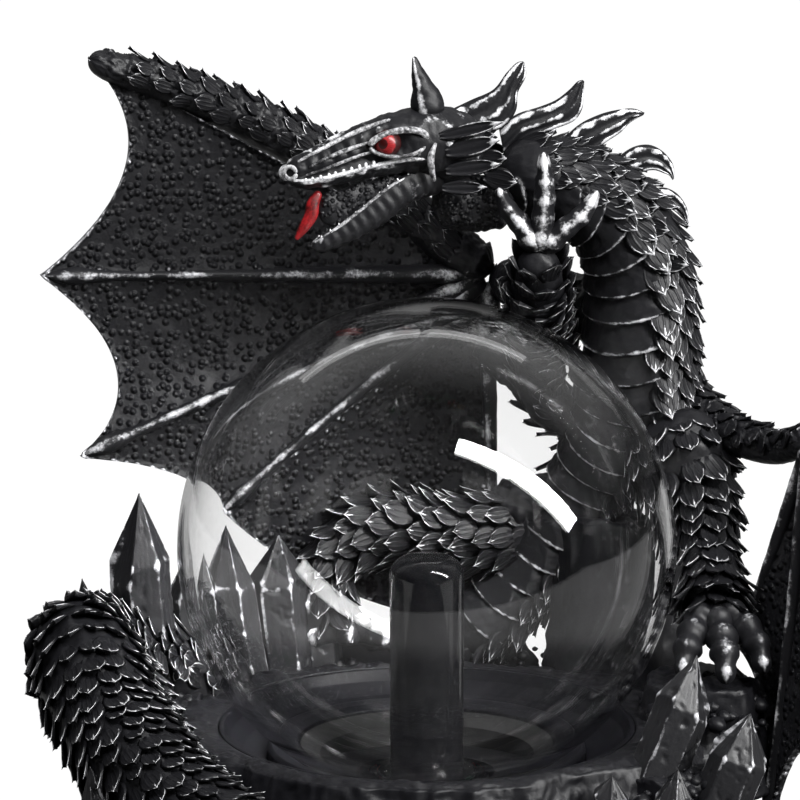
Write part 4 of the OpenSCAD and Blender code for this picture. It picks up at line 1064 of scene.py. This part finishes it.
def crags(points, seed=0):
    """Broken stone: 1 - 2|noise| gives ridges, and rounding the noise to steps gives flat facets."""
    ridged = 1 - 2 * np.abs(noise(points, 9, seed))
    fine = 1 - 2 * np.abs(noise(points, 3.6, seed + 1))
    facets = np.round(noise(points, 6.5, seed + 2) * 2.5) / 2.5
    return 0.5 * ridged + 0.28 * fine + 0.4 * facets


PANEL_H, PANEL_Z, PANEL_BACK, PANEL_HALF, PANEL_GAP = 26, 18.5, 81.5, 30.0, 0.15
HOUSING_HALF, HOUSING_TOP, HOUSING_FACE = 36, 34.5, 83.9
WELL_R, RIM_Z = 63.4, 57.0
ROCK_LIMITS = [-103.8, -88.0, 3.0]
panel_low, panel_high = PANEL_Z - PANEL_H / 2 - PANEL_GAP, PANEL_Z + PANEL_H / 2 + PANEL_GAP
side_z = np.sort(np.concatenate([np.linspace(3, 57, 58), [panel_low - 0.1, panel_low, panel_high,
                                                           panel_high + 0.1]]))
fine_a = np.linspace(np.radians(45), np.radians(135), 2000)
fine_x = ledge_point(fine_a, 3.0, *LEDGES[0])[:, 0]
panel_edges = [-PANEL_HALF - 0.2, -PANEL_HALF - 0.1, PANEL_HALF + 0.1, PANEL_HALF + 0.2]
edge_a = np.interp(panel_edges, fine_x[::-1], fine_a[::-1])
around = np.sort(np.concatenate([np.linspace(0, 2 * np.pi, 620, endpoint=False), edge_a]))
a, z = np.meshgrid(around, side_z)
side_xy = ledge_outline(a, z)
side = np.concatenate([side_xy, z[..., None]], axis=-1)
outward = np.concatenate([unit(side_xy), 0 * z[..., None]], axis=-1)
stone = crags(side, 3)
side = side + ((stone - 1.0) * 2.0)[..., None] * outward
base_x = ledge_point(a, 3.0, *LEDGES[0])[..., 0]
housing = (np.abs(base_x) < HOUSING_HALF) & (side[..., 1] > 0) & (z < HOUSING_TOP)
side[..., 0] = np.where(housing, base_x, side[..., 0])
recess = housing & (np.abs(base_x) < PANEL_HALF + PANEL_GAP) & (z > panel_low - 0.05) & (z < panel_high + 0.05)
frame_y = np.where(recess, PANEL_BACK - 0.1, HOUSING_FACE + 0.2 * noise(side, 4))
side[..., 1] = np.where(housing, frame_y, side[..., 1])
print("the rock's side has", side.shape[0], "rows and", side.shape[1], "columns")

# %% Top and hollow of the rock
top_t = np.linspace(0, 1, 26)[1:, None]
rim_xy = side[-1, :, :2]
well_xy = WELL_R * unit(rim_xy)
top_xy = rim_xy[None] * (1 - top_t[..., None]) + well_xy[None] * top_t[..., None]
top = np.concatenate([top_xy, np.full(top_xy.shape[:2] + (1,), RIM_Z)], axis=-1)
top_stone = crags(top, 4)
top[..., 2] += (top_stone - 0.6) * 1.8 * step(0, 0.3, 1 - top_t) + 1.2 * np.sin(np.pi * top_t)
WELL = [(WELL_R, 50.1), (60.6, 50.1), (56, 46.9), (48.4, 44.4), (48.4, 40.8), (46, 40.8), (46, 38), (58, 38),
        (58, 3)]
ring = unit(rim_xy)
well = np.stack([np.concatenate([ring * r, np.full((len(ring), 1), h)], axis=1) for r, h in WELL])
rock_points = np.concatenate([side, top, well])
rock_relief = np.concatenate([0.22 + 0.30 * stone, 0.22 + 0.30 * top_stone, np.zeros(well.shape[:2])])
rock_points = np.maximum(rock_points, ROCK_LIMITS)
rock_patch = grid_patch(rock_points, np.clip(rock_relief, 0, 1), loop=True)
print("the rock's grid has", len(rock_patch[1]), "four-sided faces")

# %% Boulders and bosses
def boulder(x, y, rx, ry, low, high, taper, seed, rows=44, columns=96):
    """A dome: its reach falls from 1 to taper up its side, then by sqrt(1 - over^2.5) over a lumpy top, times
    1 + 0.05 sin(seed + 3a) + 0.04 sin(2 seed + 7a)."""
    t = np.linspace(0, 1, rows)[:, None]
    a = angles(columns)[None]
    up = np.minimum(t / 0.62, 1)
    over = np.clip((t - 0.62) / 0.38, 0, 0.995)
    k = 1 + 0.05 * np.sin(seed + a * 3) + 0.04 * np.sin(2 * seed + a * 7)
    reach = (1 + (taper - 1) * up) * np.sqrt(1 - over ** 2.5) * k
    height = low + (high - 3 - low) * up + 3 * np.sin(over * np.pi / 2)
    p = np.stack([x + rx * reach * np.cos(a), y + ry * reach * np.sin(a), height + 0 * a], axis=-1)
    stone = crags(p, seed)
    p = p + (2.6 * (stone - 0.75))[..., None] * unit(p - np.array([x, y, low]))
    return grid_patch(clear_of_globe(p, 1.0), np.clip(0.25 + 0.32 * stone, 0, 1))


boulders = [boulder(84, 12, 24, 27, 36, 70, 0.72, 4), boulder(-8, 77, 56, 11, 36, 65, 0.8, 5, columns=160),
            boulder(-82, 30, 20, 24, 36, 60, 0.7, 6), boulder(74, -42, 22, 18, 30, 56, 0.7, 7),
            boulder(61, 68, 26, 18.5, 36, 109, 0.72, 8)]
bosses = []
for corner in range(4):
    turn = np.radians(45 + 90 * corner)
    bosses.append(tube([[52 * np.cos(turn), 52 * np.sin(turn), h, 6.3] for h in (14, 26, 37)], 8, 20))
make_piece("rock", joined(rock_patch, *bosses), rock_paint, "cast_resin", "base_casting")
make_piece("boulders", joined(*boulders), rock_paint, "cast_resin")

# %% [markdown]
# ## Rubble
# Small stones lie on the ledges. A particle system could strew them, but it may not be rendered the same
# everywhere, so each stone's place, turn and size come from the scatter function. A stone has a few dozen faces.

# %% Rubble
def pebble():
    """A small closed stone: a ball with its radius times 1 + 0.28 x noise."""
    t = np.linspace(0.12, np.pi - 0.12, 6)[:, None]
    a = angles(8)[None]
    p = np.stack([np.sin(t) * np.cos(a), np.sin(t) * np.sin(a), -np.cos(t) + 0 * a], axis=-1)
    p = p * (1 + 0.28 * noise(p * 3 + 5, 1.7, 9))[..., None]
    return grid_patch(p, 0.3 + 0.35 * np.abs(np.cos(3 * a)) * np.sin(t))


def rubble(count, seed, x_range, y_range, height, size):
    """Pebbles strewn over a patch of rock, each turned and sized by its own number."""
    cells = np.arange(count)[:, None]
    chance = np.column_stack([scattered(cells, seed + k) for k in range(6)])
    x = x_range[0] + chance[:, 0] * (x_range[1] - x_range[0])
    y = y_range[0] + chance[:, 1] * (y_range[1] - y_range[0])
    z = height(x, y)
    turn = chance[:, 2] * 6.3
    r = size * (0.5 + chance[:, 3] ** 2)
    stone = pebble()
    px, py, pz = stone[0].T
    c, s = np.cos(turn)[:, None], np.sin(turn)[:, None]
    places = np.stack([x[:, None] + r[:, None] * (c * px - s * py * (0.6 + 0.5 * chance[:, 4:5])),
                       y[:, None] + r[:, None] * (s * px + c * py), z[:, None] + r[:, None] * 0.75 * pz], axis=-1)
    outside = np.linalg.norm(np.stack([x, y, z - GLOBE_Z], axis=1), axis=1) > GLOBE_R + 1.3 * size + 1
    return copies(stone, places[outside])


def boulder_height(cx, cy, rx, ry, top, low):
    """The height of a dome over a point: low + (top - low) sqrt(1 - (x / rx)^2 - (y / ry)^2) from its middle."""
    return lambda x, y: low + (top - low) * np.sqrt(np.clip(1 - ((x - cx) / rx) ** 2 - ((y - cy) / ry) ** 2, 0, 1))


strewn = [rubble(150, 40, (66, 104), (-12, 36), boulder_height(84, 12, 26, 29, 68.5, 44), 2.2),
          rubble(90, 50, (56, 92), (-56, -28), boulder_height(74, -42, 24, 20, 55, 38), 2.0),
          rubble(110, 60, (-60, 44), (66, 84), boulder_height(-8, 77, 66, 14, 64, 44), 2.0),
          rubble(90, 70, (-100, -64), (10, 52), boulder_height(-82, 30, 22, 26, 59, 40), 2.0)]
make_piece("rubble", joined(*strewn), rock_paint, "cast_resin")

# %% [markdown]
# ## Crystals
# Six flat sides and a pointed top set off centre. A cone with six corners would give the shape, but worn edges,
# chips and streaks need points to sit on, so it is a fine grid folded into a hexagon. The number for the paint
# is high along the edges, where hands and brushes wear it, and low in the middle of each face.

# %% Crystals
LEFT_CRYSTALS = [[[-84, 26, 46], [-91, 28, 122], 9.5], [[-96, 32, 40], [-109, 40, 92], 6.5],
                 [[-74, 42, 46], [-76, 50, 98], 7], [[-62, 52, 44], [-69, 56, 106], 10.5],
                 [[-47, 62, 50], [-51, 64, 101], 10.5], [[-35, 68, 50], [-38, 69, 91], 8]]
FRONT_CRYSTALS = [[[-86, -42, 8], [-99, -54, 58], 7], [[-94, -36, 6], [-112, -44, 44], 6],
                  [[-72, -58, 6], [-80, -76, 38], 6]]
RIGHT_CRYSTALS = [[[62, -44, 40], [81, -32, 86], 8.5], [[80, -52, 34], [96, -45, 72], 8.5],
                  [[50, -60, 34], [55, -60, 58], 6], [[67, -60, 30], [74, -60, 60], 6.5]]


def crystal(foot, tip, r, seed, columns=96, rows=90):
    """Radius of a hexagon = r cos 30 / cos(distance from the middle of a side), shrinking to the tip above 0.68."""
    foot, tip = np.array(foot, float), np.array(tip, float)
    length = np.linalg.norm(tip - foot)
    along = (tip - foot) / length
    side = unit(np.cross([0, 0, 1], along)[None])[0]
    back = np.cross(side, along) * -1
    t = np.linspace(0, 1, rows)[:, None]
    a = angles(columns)[None]
    from_middle = (a + np.pi / 6) % (np.pi / 3) - np.pi / 6
    hexagon = np.cos(np.pi / 6) / np.cos(from_middle)
    facet = np.floor((a + np.pi / 6) / (np.pi / 3)) % 6
    slope = 0.60 + 0.16 * scattered(facet[..., None], seed)
    taper = np.clip((1 - t) / (1 - slope), 0.02, 1)
    shift = (1 - np.clip((1 - t) / 0.34, 0, 1)) * 0.28
    x = r * (hexagon * taper * np.cos(a) + shift)
    y = r * hexagon * taper * np.sin(a)
    p = foot + (t * length)[..., None] * along + x[..., None] * back + y[..., None] * side
    edge = np.exp(-((np.pi / 6 - np.abs(from_middle)) / 0.13) ** 2) + 0.7 * np.exp(-((t - slope) / 0.02) ** 2)
    streaks = noise(np.stack(np.broadcast_arrays(a * r * 1.2, t * length / 7, 0 * a * t), axis=-1), 1.1, seed)
    chips = np.clip(rough(p, 3, 3, seed) - 0.35, 0, 1)
    axis = foot + (t * length)[..., None] * along
    p = p - (0.9 * chips + 0.10 * np.abs(streaks))[..., None] * unit(p - axis)
    relief = np.clip(0.16 + 0.45 * edge + 0.16 * streaks + 0.35 * chips + 0.12 * rough(p, 5, 2, 2), 0, 1)
    return grid_patch(p, relief)


for name, group, node in (("left", LEFT_CRYSTALS, "crystals_left"), ("front", FRONT_CRYSTALS, "crystals_front"),
                          ("right", RIGHT_CRYSTALS, "crystals_right")):
    grown = [crystal(*c, seed=i + 3) for i, c in enumerate(group)]
    make_piece(f"{name}_crystal_cluster", joined(*grown), crystal_paint, "dark_crystal", node)

# %% [markdown]
# ## Glass and seat
# The globe, the tube and the rings round them are round about the upright axis, so each is a profile turned
# about it. A Spin tool does the same by hand. The profile follows the real section, with both faces of the
# glass wall, because light has to bend twice.

# %% Turned parts
def turned(profile, columns=180):
    """A profile of radius and height turned about the globe's axis. A closed profile makes a ring; one that
    starts and ends on the axis makes a solid. It runs anticlockwise, with radius to the right and height up."""
    r, z = np.array(profile, float).T
    ring = min(r[0], r[-1]) > 2
    clockwise = (np.roll(r, -1) - r) @ (np.roll(z, -1) + z) > 0
    if clockwise:
        r, z = r[::-1], z[::-1]
    a = angles(columns)
    p = np.stack([r[:, None] * np.cos(a), r[:, None] * np.sin(a), np.repeat(z[:, None], columns, axis=1)], axis=-1)
    return grid_patch(p, 0.3, loop=ring)


def arc(r, start, end, steps):
    """Points of a circle round the globe's middle, between two angles above the level, in degrees."""
    a = np.radians(np.linspace(start, end, steps))
    return list(zip(r * np.cos(a), GLOBE_Z + r * np.sin(a)))


def soft_corners(profile, cut=0.35, steps=4):
    """Each corner of a closed profile becomes a short curve, so that it catches a line of light."""
    p = np.array(profile, float)
    before, after = np.roll(p, 1, axis=0) - p, np.roll(p, -1, axis=0) - p
    into = np.minimum(cut, np.linalg.norm(before, axis=1) * 0.45)[:, None] * unit(before)
    out_of = np.minimum(cut, np.linalg.norm(after, axis=1) * 0.45)[:, None] * unit(after)
    t = np.linspace(0, 1, steps)[None, :, None]
    curve = (1 - t) ** 2 * (p + into)[:, None] + 2 * t * (1 - t) * p[:, None] + t ** 2 * (p + out_of)[:, None]
    return curve.reshape(-1, 2)


NECK_R, WALL, NECK_Z = 17, 2.5, 31
inner_r, inner_neck = GLOBE_R - WALL, NECK_R - WALL
GLASS = (arc(inner_r, 89.6, -np.degrees(np.arccos(inner_neck / inner_r)), 120)
         + [(inner_neck, NECK_Z), (NECK_R, NECK_Z)]
         + arc(GLOBE_R, -np.degrees(np.arccos(NECK_R / GLOBE_R)), 89.6, 120))
_, tube_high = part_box("electrode_tube")
TUBE_R, TUBE_TOP = 11.25, tube_high.z / mm
SHOULDER = 6


def shoulder(r, top, corner, steps=14):
    """Points down a tube's shoulder, from the edge of its flat top to its side."""
    a = np.radians(np.linspace(90, 0, steps))
    return [(0.05, top + 0.5), (r - corner - 1.5, top + 0.25)] + list(
        zip(r - corner + corner * np.cos(a), top - corner + corner * np.sin(a)))


TUBE = (shoulder(TUBE_R - 1.25, TUBE_TOP - 1.75, SHOULDER - 1.25) + [(TUBE_R - 1.25, NECK_Z), (14.3, NECK_Z),
        (14.3, 33), (12.2, 33.4), (TUBE_R, 34.6)] + shoulder(TUBE_R, TUBE_TOP - 0.5, SHOULDER)[::-1])
DISH = [(48.4, 44.5), (56, 47), (60.5, 50.2), (63, 50.2), (63, 57), (61.5, 57), (60, 53.5), (56, 49.6), (48.4, 47)]
COLLAR = [(45.7, 41), (48.2, 41), (48.2, 50), (47, 51.2), (43.5, 50.6), (41.2, 49.2), (41.2, 46.6), (45.7, 46.2)]
print("the globe's profile has", len(GLASS), "points, and the tube's", len(TUBE))

# %% [markdown]
# ## Glass and plastic
# Glass bends light at both of its surfaces, so the globe has a real wall. Light for the pieces behind passes
# through as if the glass were not there, because a renderer finds such bent shadows only slowly. Plastic,
# metal and rubber share one grain group, which makes their gloss uneven, as handling does.

# %% Plain materials
def grain_group():
    """Fine grain: noise is the height, roughness = base + spread x (noise - 0.5), and the colour goes from dark to
    light as the noise goes from 0.35 to 0.65."""
    group = bpy.data.node_groups.new("fine_grain", "ShaderNodeTree")
    add_socket(group, "Scale", "Float", "INPUT", 800.0)
    add_socket(group, "Roughness", "Float", "INPUT", 0.4)
    add_socket(group, "Spread", "Float", "INPUT", 0.2)
    add_socket(group, "Dark", "Color", "INPUT", (0.02, 0.02, 0.02, 1))
    add_socket(group, "Light", "Color", "INPUT", (0.03, 0.03, 0.03, 1))
    add_socket(group, "Color", "Color", "OUTPUT")
    add_socket(group, "Roughness", "Float", "OUTPUT")
    add_socket(group, "Height", "Float", "OUTPUT")
    enter, leave = group.nodes.new("NodeGroupInput"), group.nodes.new("NodeGroupOutput")
    where = linked(group, "ShaderNodeTexCoord")
    fine = linked(group, "ShaderNodeTexNoise", {"Detail": 4.0},
                  {"Vector": where.outputs["Object"], "Scale": enter.outputs["Scale"]})
    off = linked(group, "ShaderNodeMath", {1: 0.5}, {0: fine.outputs["Fac"]}, operation="SUBTRACT")
    rough_out = linked(group, "ShaderNodeMath", {}, {0: off.outputs[0], 1: enter.outputs["Spread"],
                       2: enter.outputs["Roughness"]}, operation="MULTIPLY_ADD")
    blend = linked(group, "ShaderNodeMapRange", {"From Min": 0.35, "From Max": 0.65}, {"Value": fine.outputs["Fac"]})
    colour = linked(group, "ShaderNodeMix", {}, {0: blend.outputs[0], 6: enter.outputs["Dark"],
                    7: enter.outputs["Light"]}, data_type="RGBA")
    for name, source in (("Color", colour.outputs[2]), ("Roughness", rough_out.outputs[0]),
                         ("Height", fine.outputs["Fac"])):
        group.links.new(source, leave.inputs[name])
    return group


GRAIN = grain_group()
print("made the group", GRAIN.name)

# %% Glass, plastic and the turned pieces
def grained(name, dark, light, roughness=0.4, spread=0.2, scale=800.0, bump=0.1, **values):
    """A plain finish with grain in its colour, its gloss and its height."""
    made, tree, shader = new_material(name, **values)
    grain = linked(tree, "ShaderNodeGroup", {}, {}, node_tree=GRAIN)
    grain.inputs["Scale"].default_value = scale
    grain.inputs["Roughness"].default_value = roughness
    grain.inputs["Spread"].default_value = spread
    grain.inputs["Dark"].default_value = (*dark, 1)
    grain.inputs["Light"].default_value = (*light, 1)
    bumpy = linked(tree, "ShaderNodeBump", {"Strength": bump, "Distance": 0.0002},
                   {"Height": grain.outputs["Height"]})
    tree.links.new(grain.outputs["Color"], shader.inputs["Base Color"])
    tree.links.new(grain.outputs["Roughness"], shader.inputs["Roughness"])
    tree.links.new(bumpy.outputs["Normal"], shader.inputs["Normal"])
    return made


def glass(name, colour, roughness):
    """Clear glass whose shadow is clear too: shadow rays meet a Transparent shader."""
    made, tree, shader = new_material(name, Base_Color=colour, Roughness=roughness, IOR=1.47,
                                      Transmission_Weight=1.0)
    shadow = tree.nodes.new("ShaderNodeLightPath")
    through = linked(tree, "ShaderNodeBsdfTransparent", {"Color": colour})
    both = linked(tree, "ShaderNodeMixShader", {}, {0: shadow.outputs["Is Shadow Ray"], 1: shader.outputs[0],
                  2: through.outputs[0]})
    tree.links.new(both.outputs[0], tree.nodes["Material Output"].inputs["Surface"])
    return made


clear_glass = glass("blown_glass", (1, 1, 1, 1), 0.0)
tube_glass = grained("smoked_tube_glass", (0.003, 0.003, 0.0035), (0.006, 0.006, 0.0065), 0.06, 0.04, 300, 0.02,
                     Coat_Weight=0.4, Coat_Roughness=0.03)
gloss_plastic = grained("gloss_black_plastic", (0.003, 0.003, 0.004), (0.005, 0.005, 0.006), 0.35, 0.10, 500, 0.04,
                        Specular_IOR_Level=0.08)
make_piece("globe", turned(GLASS), clear_glass, "clear_glass", "glass_globe")
make_piece("electrode", turned(TUBE, 96), tube_glass, "dark_glass", "electrode_tube")
make_piece("dish", turned(soft_corners(DISH)), gloss_plastic, "black_plastic", "seat_dish")
make_piece("collar", turned(soft_corners(COLLAR)), gloss_plastic, "black_plastic", "collar_ring")

# %% [markdown]
# ## Tongue and eyes
# The only colour: red enamel over the black, darker in the corners. It is the resin paint again with red for
# silver, so the corners stay dark by the same rule. An eye is a ball whose pole faces outwards, because rings
# round the pole make an iris.

# %% Red paint
red_paint = resin("red_enamel", 0.75, paint=(0.02, 0.001, 0.001, 1), silver=(0.20, 0.006, 0.008, 1),
                  stroke=1500.0, coat=0.35, metal=False)
TONGUE = [[-32.5, 23.2, 216.5, 1.2], [-34.6, 22.4, 213, 2.1], [-35.2, 22, 209.5, 2.2], [-37.5, 21.4, 205.5, 1.7],
          [-39.8, 21, 202, 0.6]]
tongue = limb(TONGUE, 80, (-1, -0.1, 0.3), wide=0.75)
turn = angles(32)[None]
groove = -0.7 * np.exp(-(from_back(turn) / 0.35) ** 2)
tongue_points = on_limb(tongue, turn, groove)
make_piece("tongue_flesh", grid_patch(tongue_points, 0.45 + 0.5 * groove + 0.15 * noise(tongue_points, 1.5)),
           red_paint, "red_paint", "tongue")


def eyeball(middle, r, facing):
    """A ball whose pole faces outwards; the paint number falls from 1 round the iris to 0 at the pupil, and to a
    quarter towards the ball's edge, where it sits in the socket.
    """
    middle, facing = np.array(middle, float), unit(np.array(facing, float)[None])[0]
    side = unit(np.cross([0, 0, 1], facing)[None])[0]
    up = np.cross(facing, side)
    t = np.radians(np.linspace(1, 179, 60))[:, None]
    a = angles(64)[None]
    p = (middle + (r * np.sin(t) * np.cos(a))[..., None] * side + (r * np.sin(t) * np.sin(a))[..., None] * up
         - (r * np.cos(t) + 0 * a)[..., None] * facing)
    from_pole = np.pi - t + 0 * a
    iris = 0.62 + 0.28 * np.cos(a * 24) * np.exp(-((from_pole - 0.62) / 0.2) ** 2)
    return grid_patch(p, iris * step(0.30, 0.42, from_pole) * (1 - 0.75 * step(0.9, 1.15, from_pole)))


make_piece("eyeballs", joined(eyeball(EYES[0], 4.1, (-0.35, -0.93, 0.05)), eyeball(EYES[1], 4.1, (-0.2, 0.97, 0.05))),
           red_paint, "red_paint", "eyes")

# %% [markdown]
# ## The pieces inside and behind
# Screws, board, panel and feet can't be seen from the front. Their CAD shapes are already right, so nothing is
# made again, and each only gets the finish of its real stuff.

# %% Finishes of the small parts
steel = grained("nickel_steel", (0.46, 0.46, 0.48), (0.62, 0.62, 0.64), 0.28, 0.25, 1500, 0.15, Metallic=1.0)
brass = grained("turned_brass", (0.62, 0.42, 0.16), (0.78, 0.58, 0.26), 0.28, 0.2, 1200, 0.15, Metallic=1.0)
aluminium = grained("extruded_aluminium", (0.55, 0.56, 0.58), (0.72, 0.73, 0.75), 0.35, 0.2, 900, 0.2, Metallic=1.0)
moulded = grained("moulded_black_plastic", (0.003, 0.003, 0.0035), (0.006, 0.006, 0.0065), 0.5, 0.25, 2200, 0.35,
                  Specular_IOR_Level=0.2)
rubber = grained("soft_rubber", (0.003, 0.003, 0.003), (0.006, 0.006, 0.006), 0.75, 0.2, 1400, 0.4,
                 Specular_IOR_Level=0.2)
core_paint = grained("conductive_paint", (0.006, 0.006, 0.006), (0.012, 0.012, 0.012), 0.35, 0.3, 900, 0.2)
board = grained("green_lacquer", (0.01, 0.10, 0.035), (0.02, 0.16, 0.06), 0.3, 0.15, 700, 0.1, Coat_Weight=0.4)
ferrite = grained("ferrite", (0.03, 0.03, 0.033), (0.06, 0.06, 0.065), 0.6, 0.2, 1800, 0.4)
tape = grained("coil_tape", (0.60, 0.42, 0.05), (0.75, 0.56, 0.10), 0.3, 0.15, 500, 0.1)
sleeve = grained("capacitor_sleeve", (0.01, 0.015, 0.08), (0.02, 0.03, 0.13), 0.3, 0.1, 600, 0.05)
chip = grained("chip_resin", (0.010, 0.010, 0.011), (0.02, 0.02, 0.022), 0.6, 0.2, 2600, 0.3)
wire = grained("red_wire_cover", (0.35, 0.01, 0.01), (0.50, 0.02, 0.02), 0.35, 0.15, 900, 0.1)
FINISHES = {
    "wing_dowels": steel, "seal_ring": rubber, "lamp_cup": moulded, "cup_screws": steel,
    "electrode_core": core_paint, "electrode_bung": rubber, "contact_pin": brass, "contact_spring": steel,
    "high_voltage_lead": wire, "circuit_board": board, "board_standoffs": brass, "board_screws": steel,
    "transformer_core": ferrite, "transformer_coil": tape, "capacitors": sleeve, "power_transistor": chip,
    "heat_sink": aluminium, "control_chips": chip, "microphone": steel, "inner_wires": wire,
    "rear_panel": moulded, "panel_screws": steel, "power_socket": moulded, "socket_nut": steel,
    "switch_body": steel, "switch_slider": moulded, "switch_screws": steel, "bottom_cover": moulded,
    "cover_screws": steel, "threaded_inserts": brass, "rubber_feet": rubber}
for node, finish in FINISHES.items():
    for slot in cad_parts[node].material_slots:
        slot.material = finish
print(len(FINISHES), "CAD nodes have their finish")

# %% [markdown]
# ## Floor and light
# A white table and white surroundings, as for a catalogue. If black glossy things mirrored all that white, they
# would turn grey. So the table and the world glow fully only for the camera and straight through the glass,
# and weakly for everything that mirrors them. A dark box round the lamp would do the same, but it would be seen.
# Near the figurine that weak glow falls to nothing: a painted shadow on the table, for everything that mirrors
# the table or is lit by it.

# %% Table
FLOOR_HALF, FLOOR_FRONT, FLOOR_BACK = 1.6, -0.43, 2.0
floor_mesh = bpy.data.meshes.new("floor")
floor_mesh.from_pydata([(-FLOOR_HALF, FLOOR_FRONT, 0), (FLOOR_HALF, FLOOR_FRONT, 0), (FLOOR_HALF, FLOOR_BACK, 0),
                        (-FLOOR_HALF, FLOOR_BACK, 0)], [], [(0, 1, 2, 3)])
floor = bpy.data.objects.new("floor", floor_mesh)
bpy.context.scene.collection.objects.link(floor)
table, tree, shader = new_material("white_table", Base_Color=(0.03, 0.03, 0.03, 1), Roughness=0.7,
                                    Specular_IOR_Level=0.0, Emission_Color=(1, 1, 1, 1))


def seen_straight(tree, plain, seen, beyond):
    """A strength that is seen for rays from the camera, and, where beyond is 1, for rays that only went through
    glass: those with Ray Depth - Transmission Depth below 0.5. It is plain for all others."""
    path = linked(tree, "ShaderNodeLightPath")
    mirrored = linked(tree, "ShaderNodeMath", {}, {0: path.outputs["Ray Depth"],
                      1: path.outputs["Transmission Depth"]}, operation="SUBTRACT")
    straight = linked(tree, "ShaderNodeMath", {1: 0.5}, {0: mirrored.outputs[0]}, operation="LESS_THAN")
    through = linked(tree, "ShaderNodeMath", {}, {0: straight.outputs[0], 1: beyond}, operation="MULTIPLY")
    either = linked(tree, "ShaderNodeMath", {}, {0: path.outputs["Is Camera Ray"], 1: through.outputs[0]},
                    operation="MAXIMUM")
    return linked(tree, "ShaderNodeMix", {2: plain, 3: seen}, {0: either.outputs[0]})


place = linked(tree, "ShaderNodeNewGeometry")
spot = linked(tree, "ShaderNodeSeparateXYZ", {}, {"Vector": place.outputs["Position"]})
past = linked(tree, "ShaderNodeMath", {1: 0.08}, {0: spot.outputs["Y"]}, operation="GREATER_THAN")
# The glow for mirrored and bounced rays is a painted shadow of the figurine on the table: none within 0.17 m of the
# middle, rising to 0.38 by 0.26 m.
middle = linked(tree, "ShaderNodeVectorMath", {}, {0: place.outputs["Position"]}, operation="LENGTH")
plain = linked(tree, "ShaderNodeMapRange", {"From Min": 0.17, "From Max": 0.26, "To Max": 0.38},
               {"Value": middle.outputs["Value"]}, interpolation_type="SMOOTHSTEP")
shown = seen_straight(tree, 0.0, 1.0, past.outputs[0])
tree.links.new(plain.outputs[0], shown.inputs[2])
tree.links.new(shown.outputs[0], shader.inputs["Emission Strength"])
floor_mesh.materials.append(table)
print("the table is", 2 * FLOOR_HALF, "m wide and", FLOOR_BACK - FLOOR_FRONT, "m deep")

# %% World
world = bpy.data.worlds.new("studio")
world.use_nodes = True
sky = world.node_tree
background = sky.nodes["Background"]
direction = linked(sky, "ShaderNodeTexCoord")
parts = linked(sky, "ShaderNodeSeparateXYZ", {}, {"Vector": direction.outputs["Generated"]})
behind = linked(sky, "ShaderNodeMapRange", {"From Min": -0.05, "From Max": 0.45, "To Min": 0.04, "To Max": 0.5},
                {"Value": parts.outputs["Y"]}, interpolation_type="SMOOTHSTEP")
higher = linked(sky, "ShaderNodeMapRange", {"From Min": 0.15, "From Max": 0.75, "To Min": 0.06, "To Max": 1.0},
                {"Value": parts.outputs["Z"]}, interpolation_type="SMOOTHSTEP")
behind = linked(sky, "ShaderNodeMath", {}, {0: behind.outputs[0], 1: higher.outputs[0]}, operation="MULTIPLY")
past = linked(sky, "ShaderNodeMath", {1: 0.15}, {0: parts.outputs["Y"]}, operation="GREATER_THAN")
shown = seen_straight(sky, 0.0, 1.05, past.outputs[0])
sky.links.new(behind.outputs[0], shown.inputs[2])
sky.links.new(shown.outputs[0], background.inputs["Strength"])
background.inputs["Color"].default_value = (1, 1, 1, 1)
bpy.context.scene.world = world
print("world:", len(sky.nodes), "nodes")

# %% [markdown]
# ## Lamps
# One long soft lamp above right makes the two streaks in the glass: the upper one on the front of the globe,
# the lower one inside its back. A faint strip overhead and behind draws thin lines of light on the top of the
# globe and on the castings. A broad key lamp at the upper left lights the castings, and it is hidden from the
# glass, because its square reflection isn't on the real globe.

# %% Lamps
right, up, towards = Vector((1, 0, 0)), Vector((0, np.sin(CAMERA_RISE), np.cos(CAMERA_RISE))), away
streak_ends = [globe_middle + 1.2 * (x * right + y * up + z * towards)
               for x, y, z in ((0.206, 0.70, 0.685), (0.918, 0.133, 0.372))]


def strip_lamp(name, start, end, target, height, power):
    """A long lamp between two points, facing a target: its x axis runs from start to end, and z away from the
    target."""
    data = bpy.data.lights.new(name, "AREA")
    data.shape = "RECTANGLE"
    data.size, data.size_y, data.energy = (end - start).length, height, power
    strip = bpy.data.objects.new(name, data)
    bpy.context.scene.collection.objects.link(strip)
    x = (end - start).normalized()
    z = ((start + end) / 2 - target).normalized()
    y = z.cross(x).normalized()
    z = x.cross(y).normalized()
    turn = Matrix((x, y, z)).transposed()
    strip.rotation_mode = "QUATERNION"
    strip.rotation_quaternion = turn.to_quaternion()
    strip.location = (start + end) / 2
    return strip


STREAK_WATTS, ABOVE_WATTS, KEY_WATTS = 34, 1.0, 22
strip_lamp("streak", *streak_ends, globe_middle, 0.15, STREAK_WATTS)
above, above_half = globe_middle + Vector((-0.15, 0.8, 1.1)), Vector((0.8, 0, 0))
strip_lamp("above", above - above_half, above + above_half, globe_middle, 0.10, ABOVE_WATTS)
key, key_half = globe_middle + Vector((-0.5, -0.5, 1.2)), Vector((0.4, 0, 0))
key_lamp = strip_lamp("key", key - key_half, key + key_half, globe_middle, 0.8, KEY_WATTS)
key_lamp.visible_glossy = False
key_lamp.visible_transmission = False
print("lamps:", [lamp.name for lamp in bpy.data.lights])
print("triangles in the new pieces:", triangle_total)

# %% [markdown]
# ## The view
# The view transform is plain, so that white stays white.

# %% View transform
scene_view = bpy.context.scene.view_settings
scene_view.view_transform = "Standard"
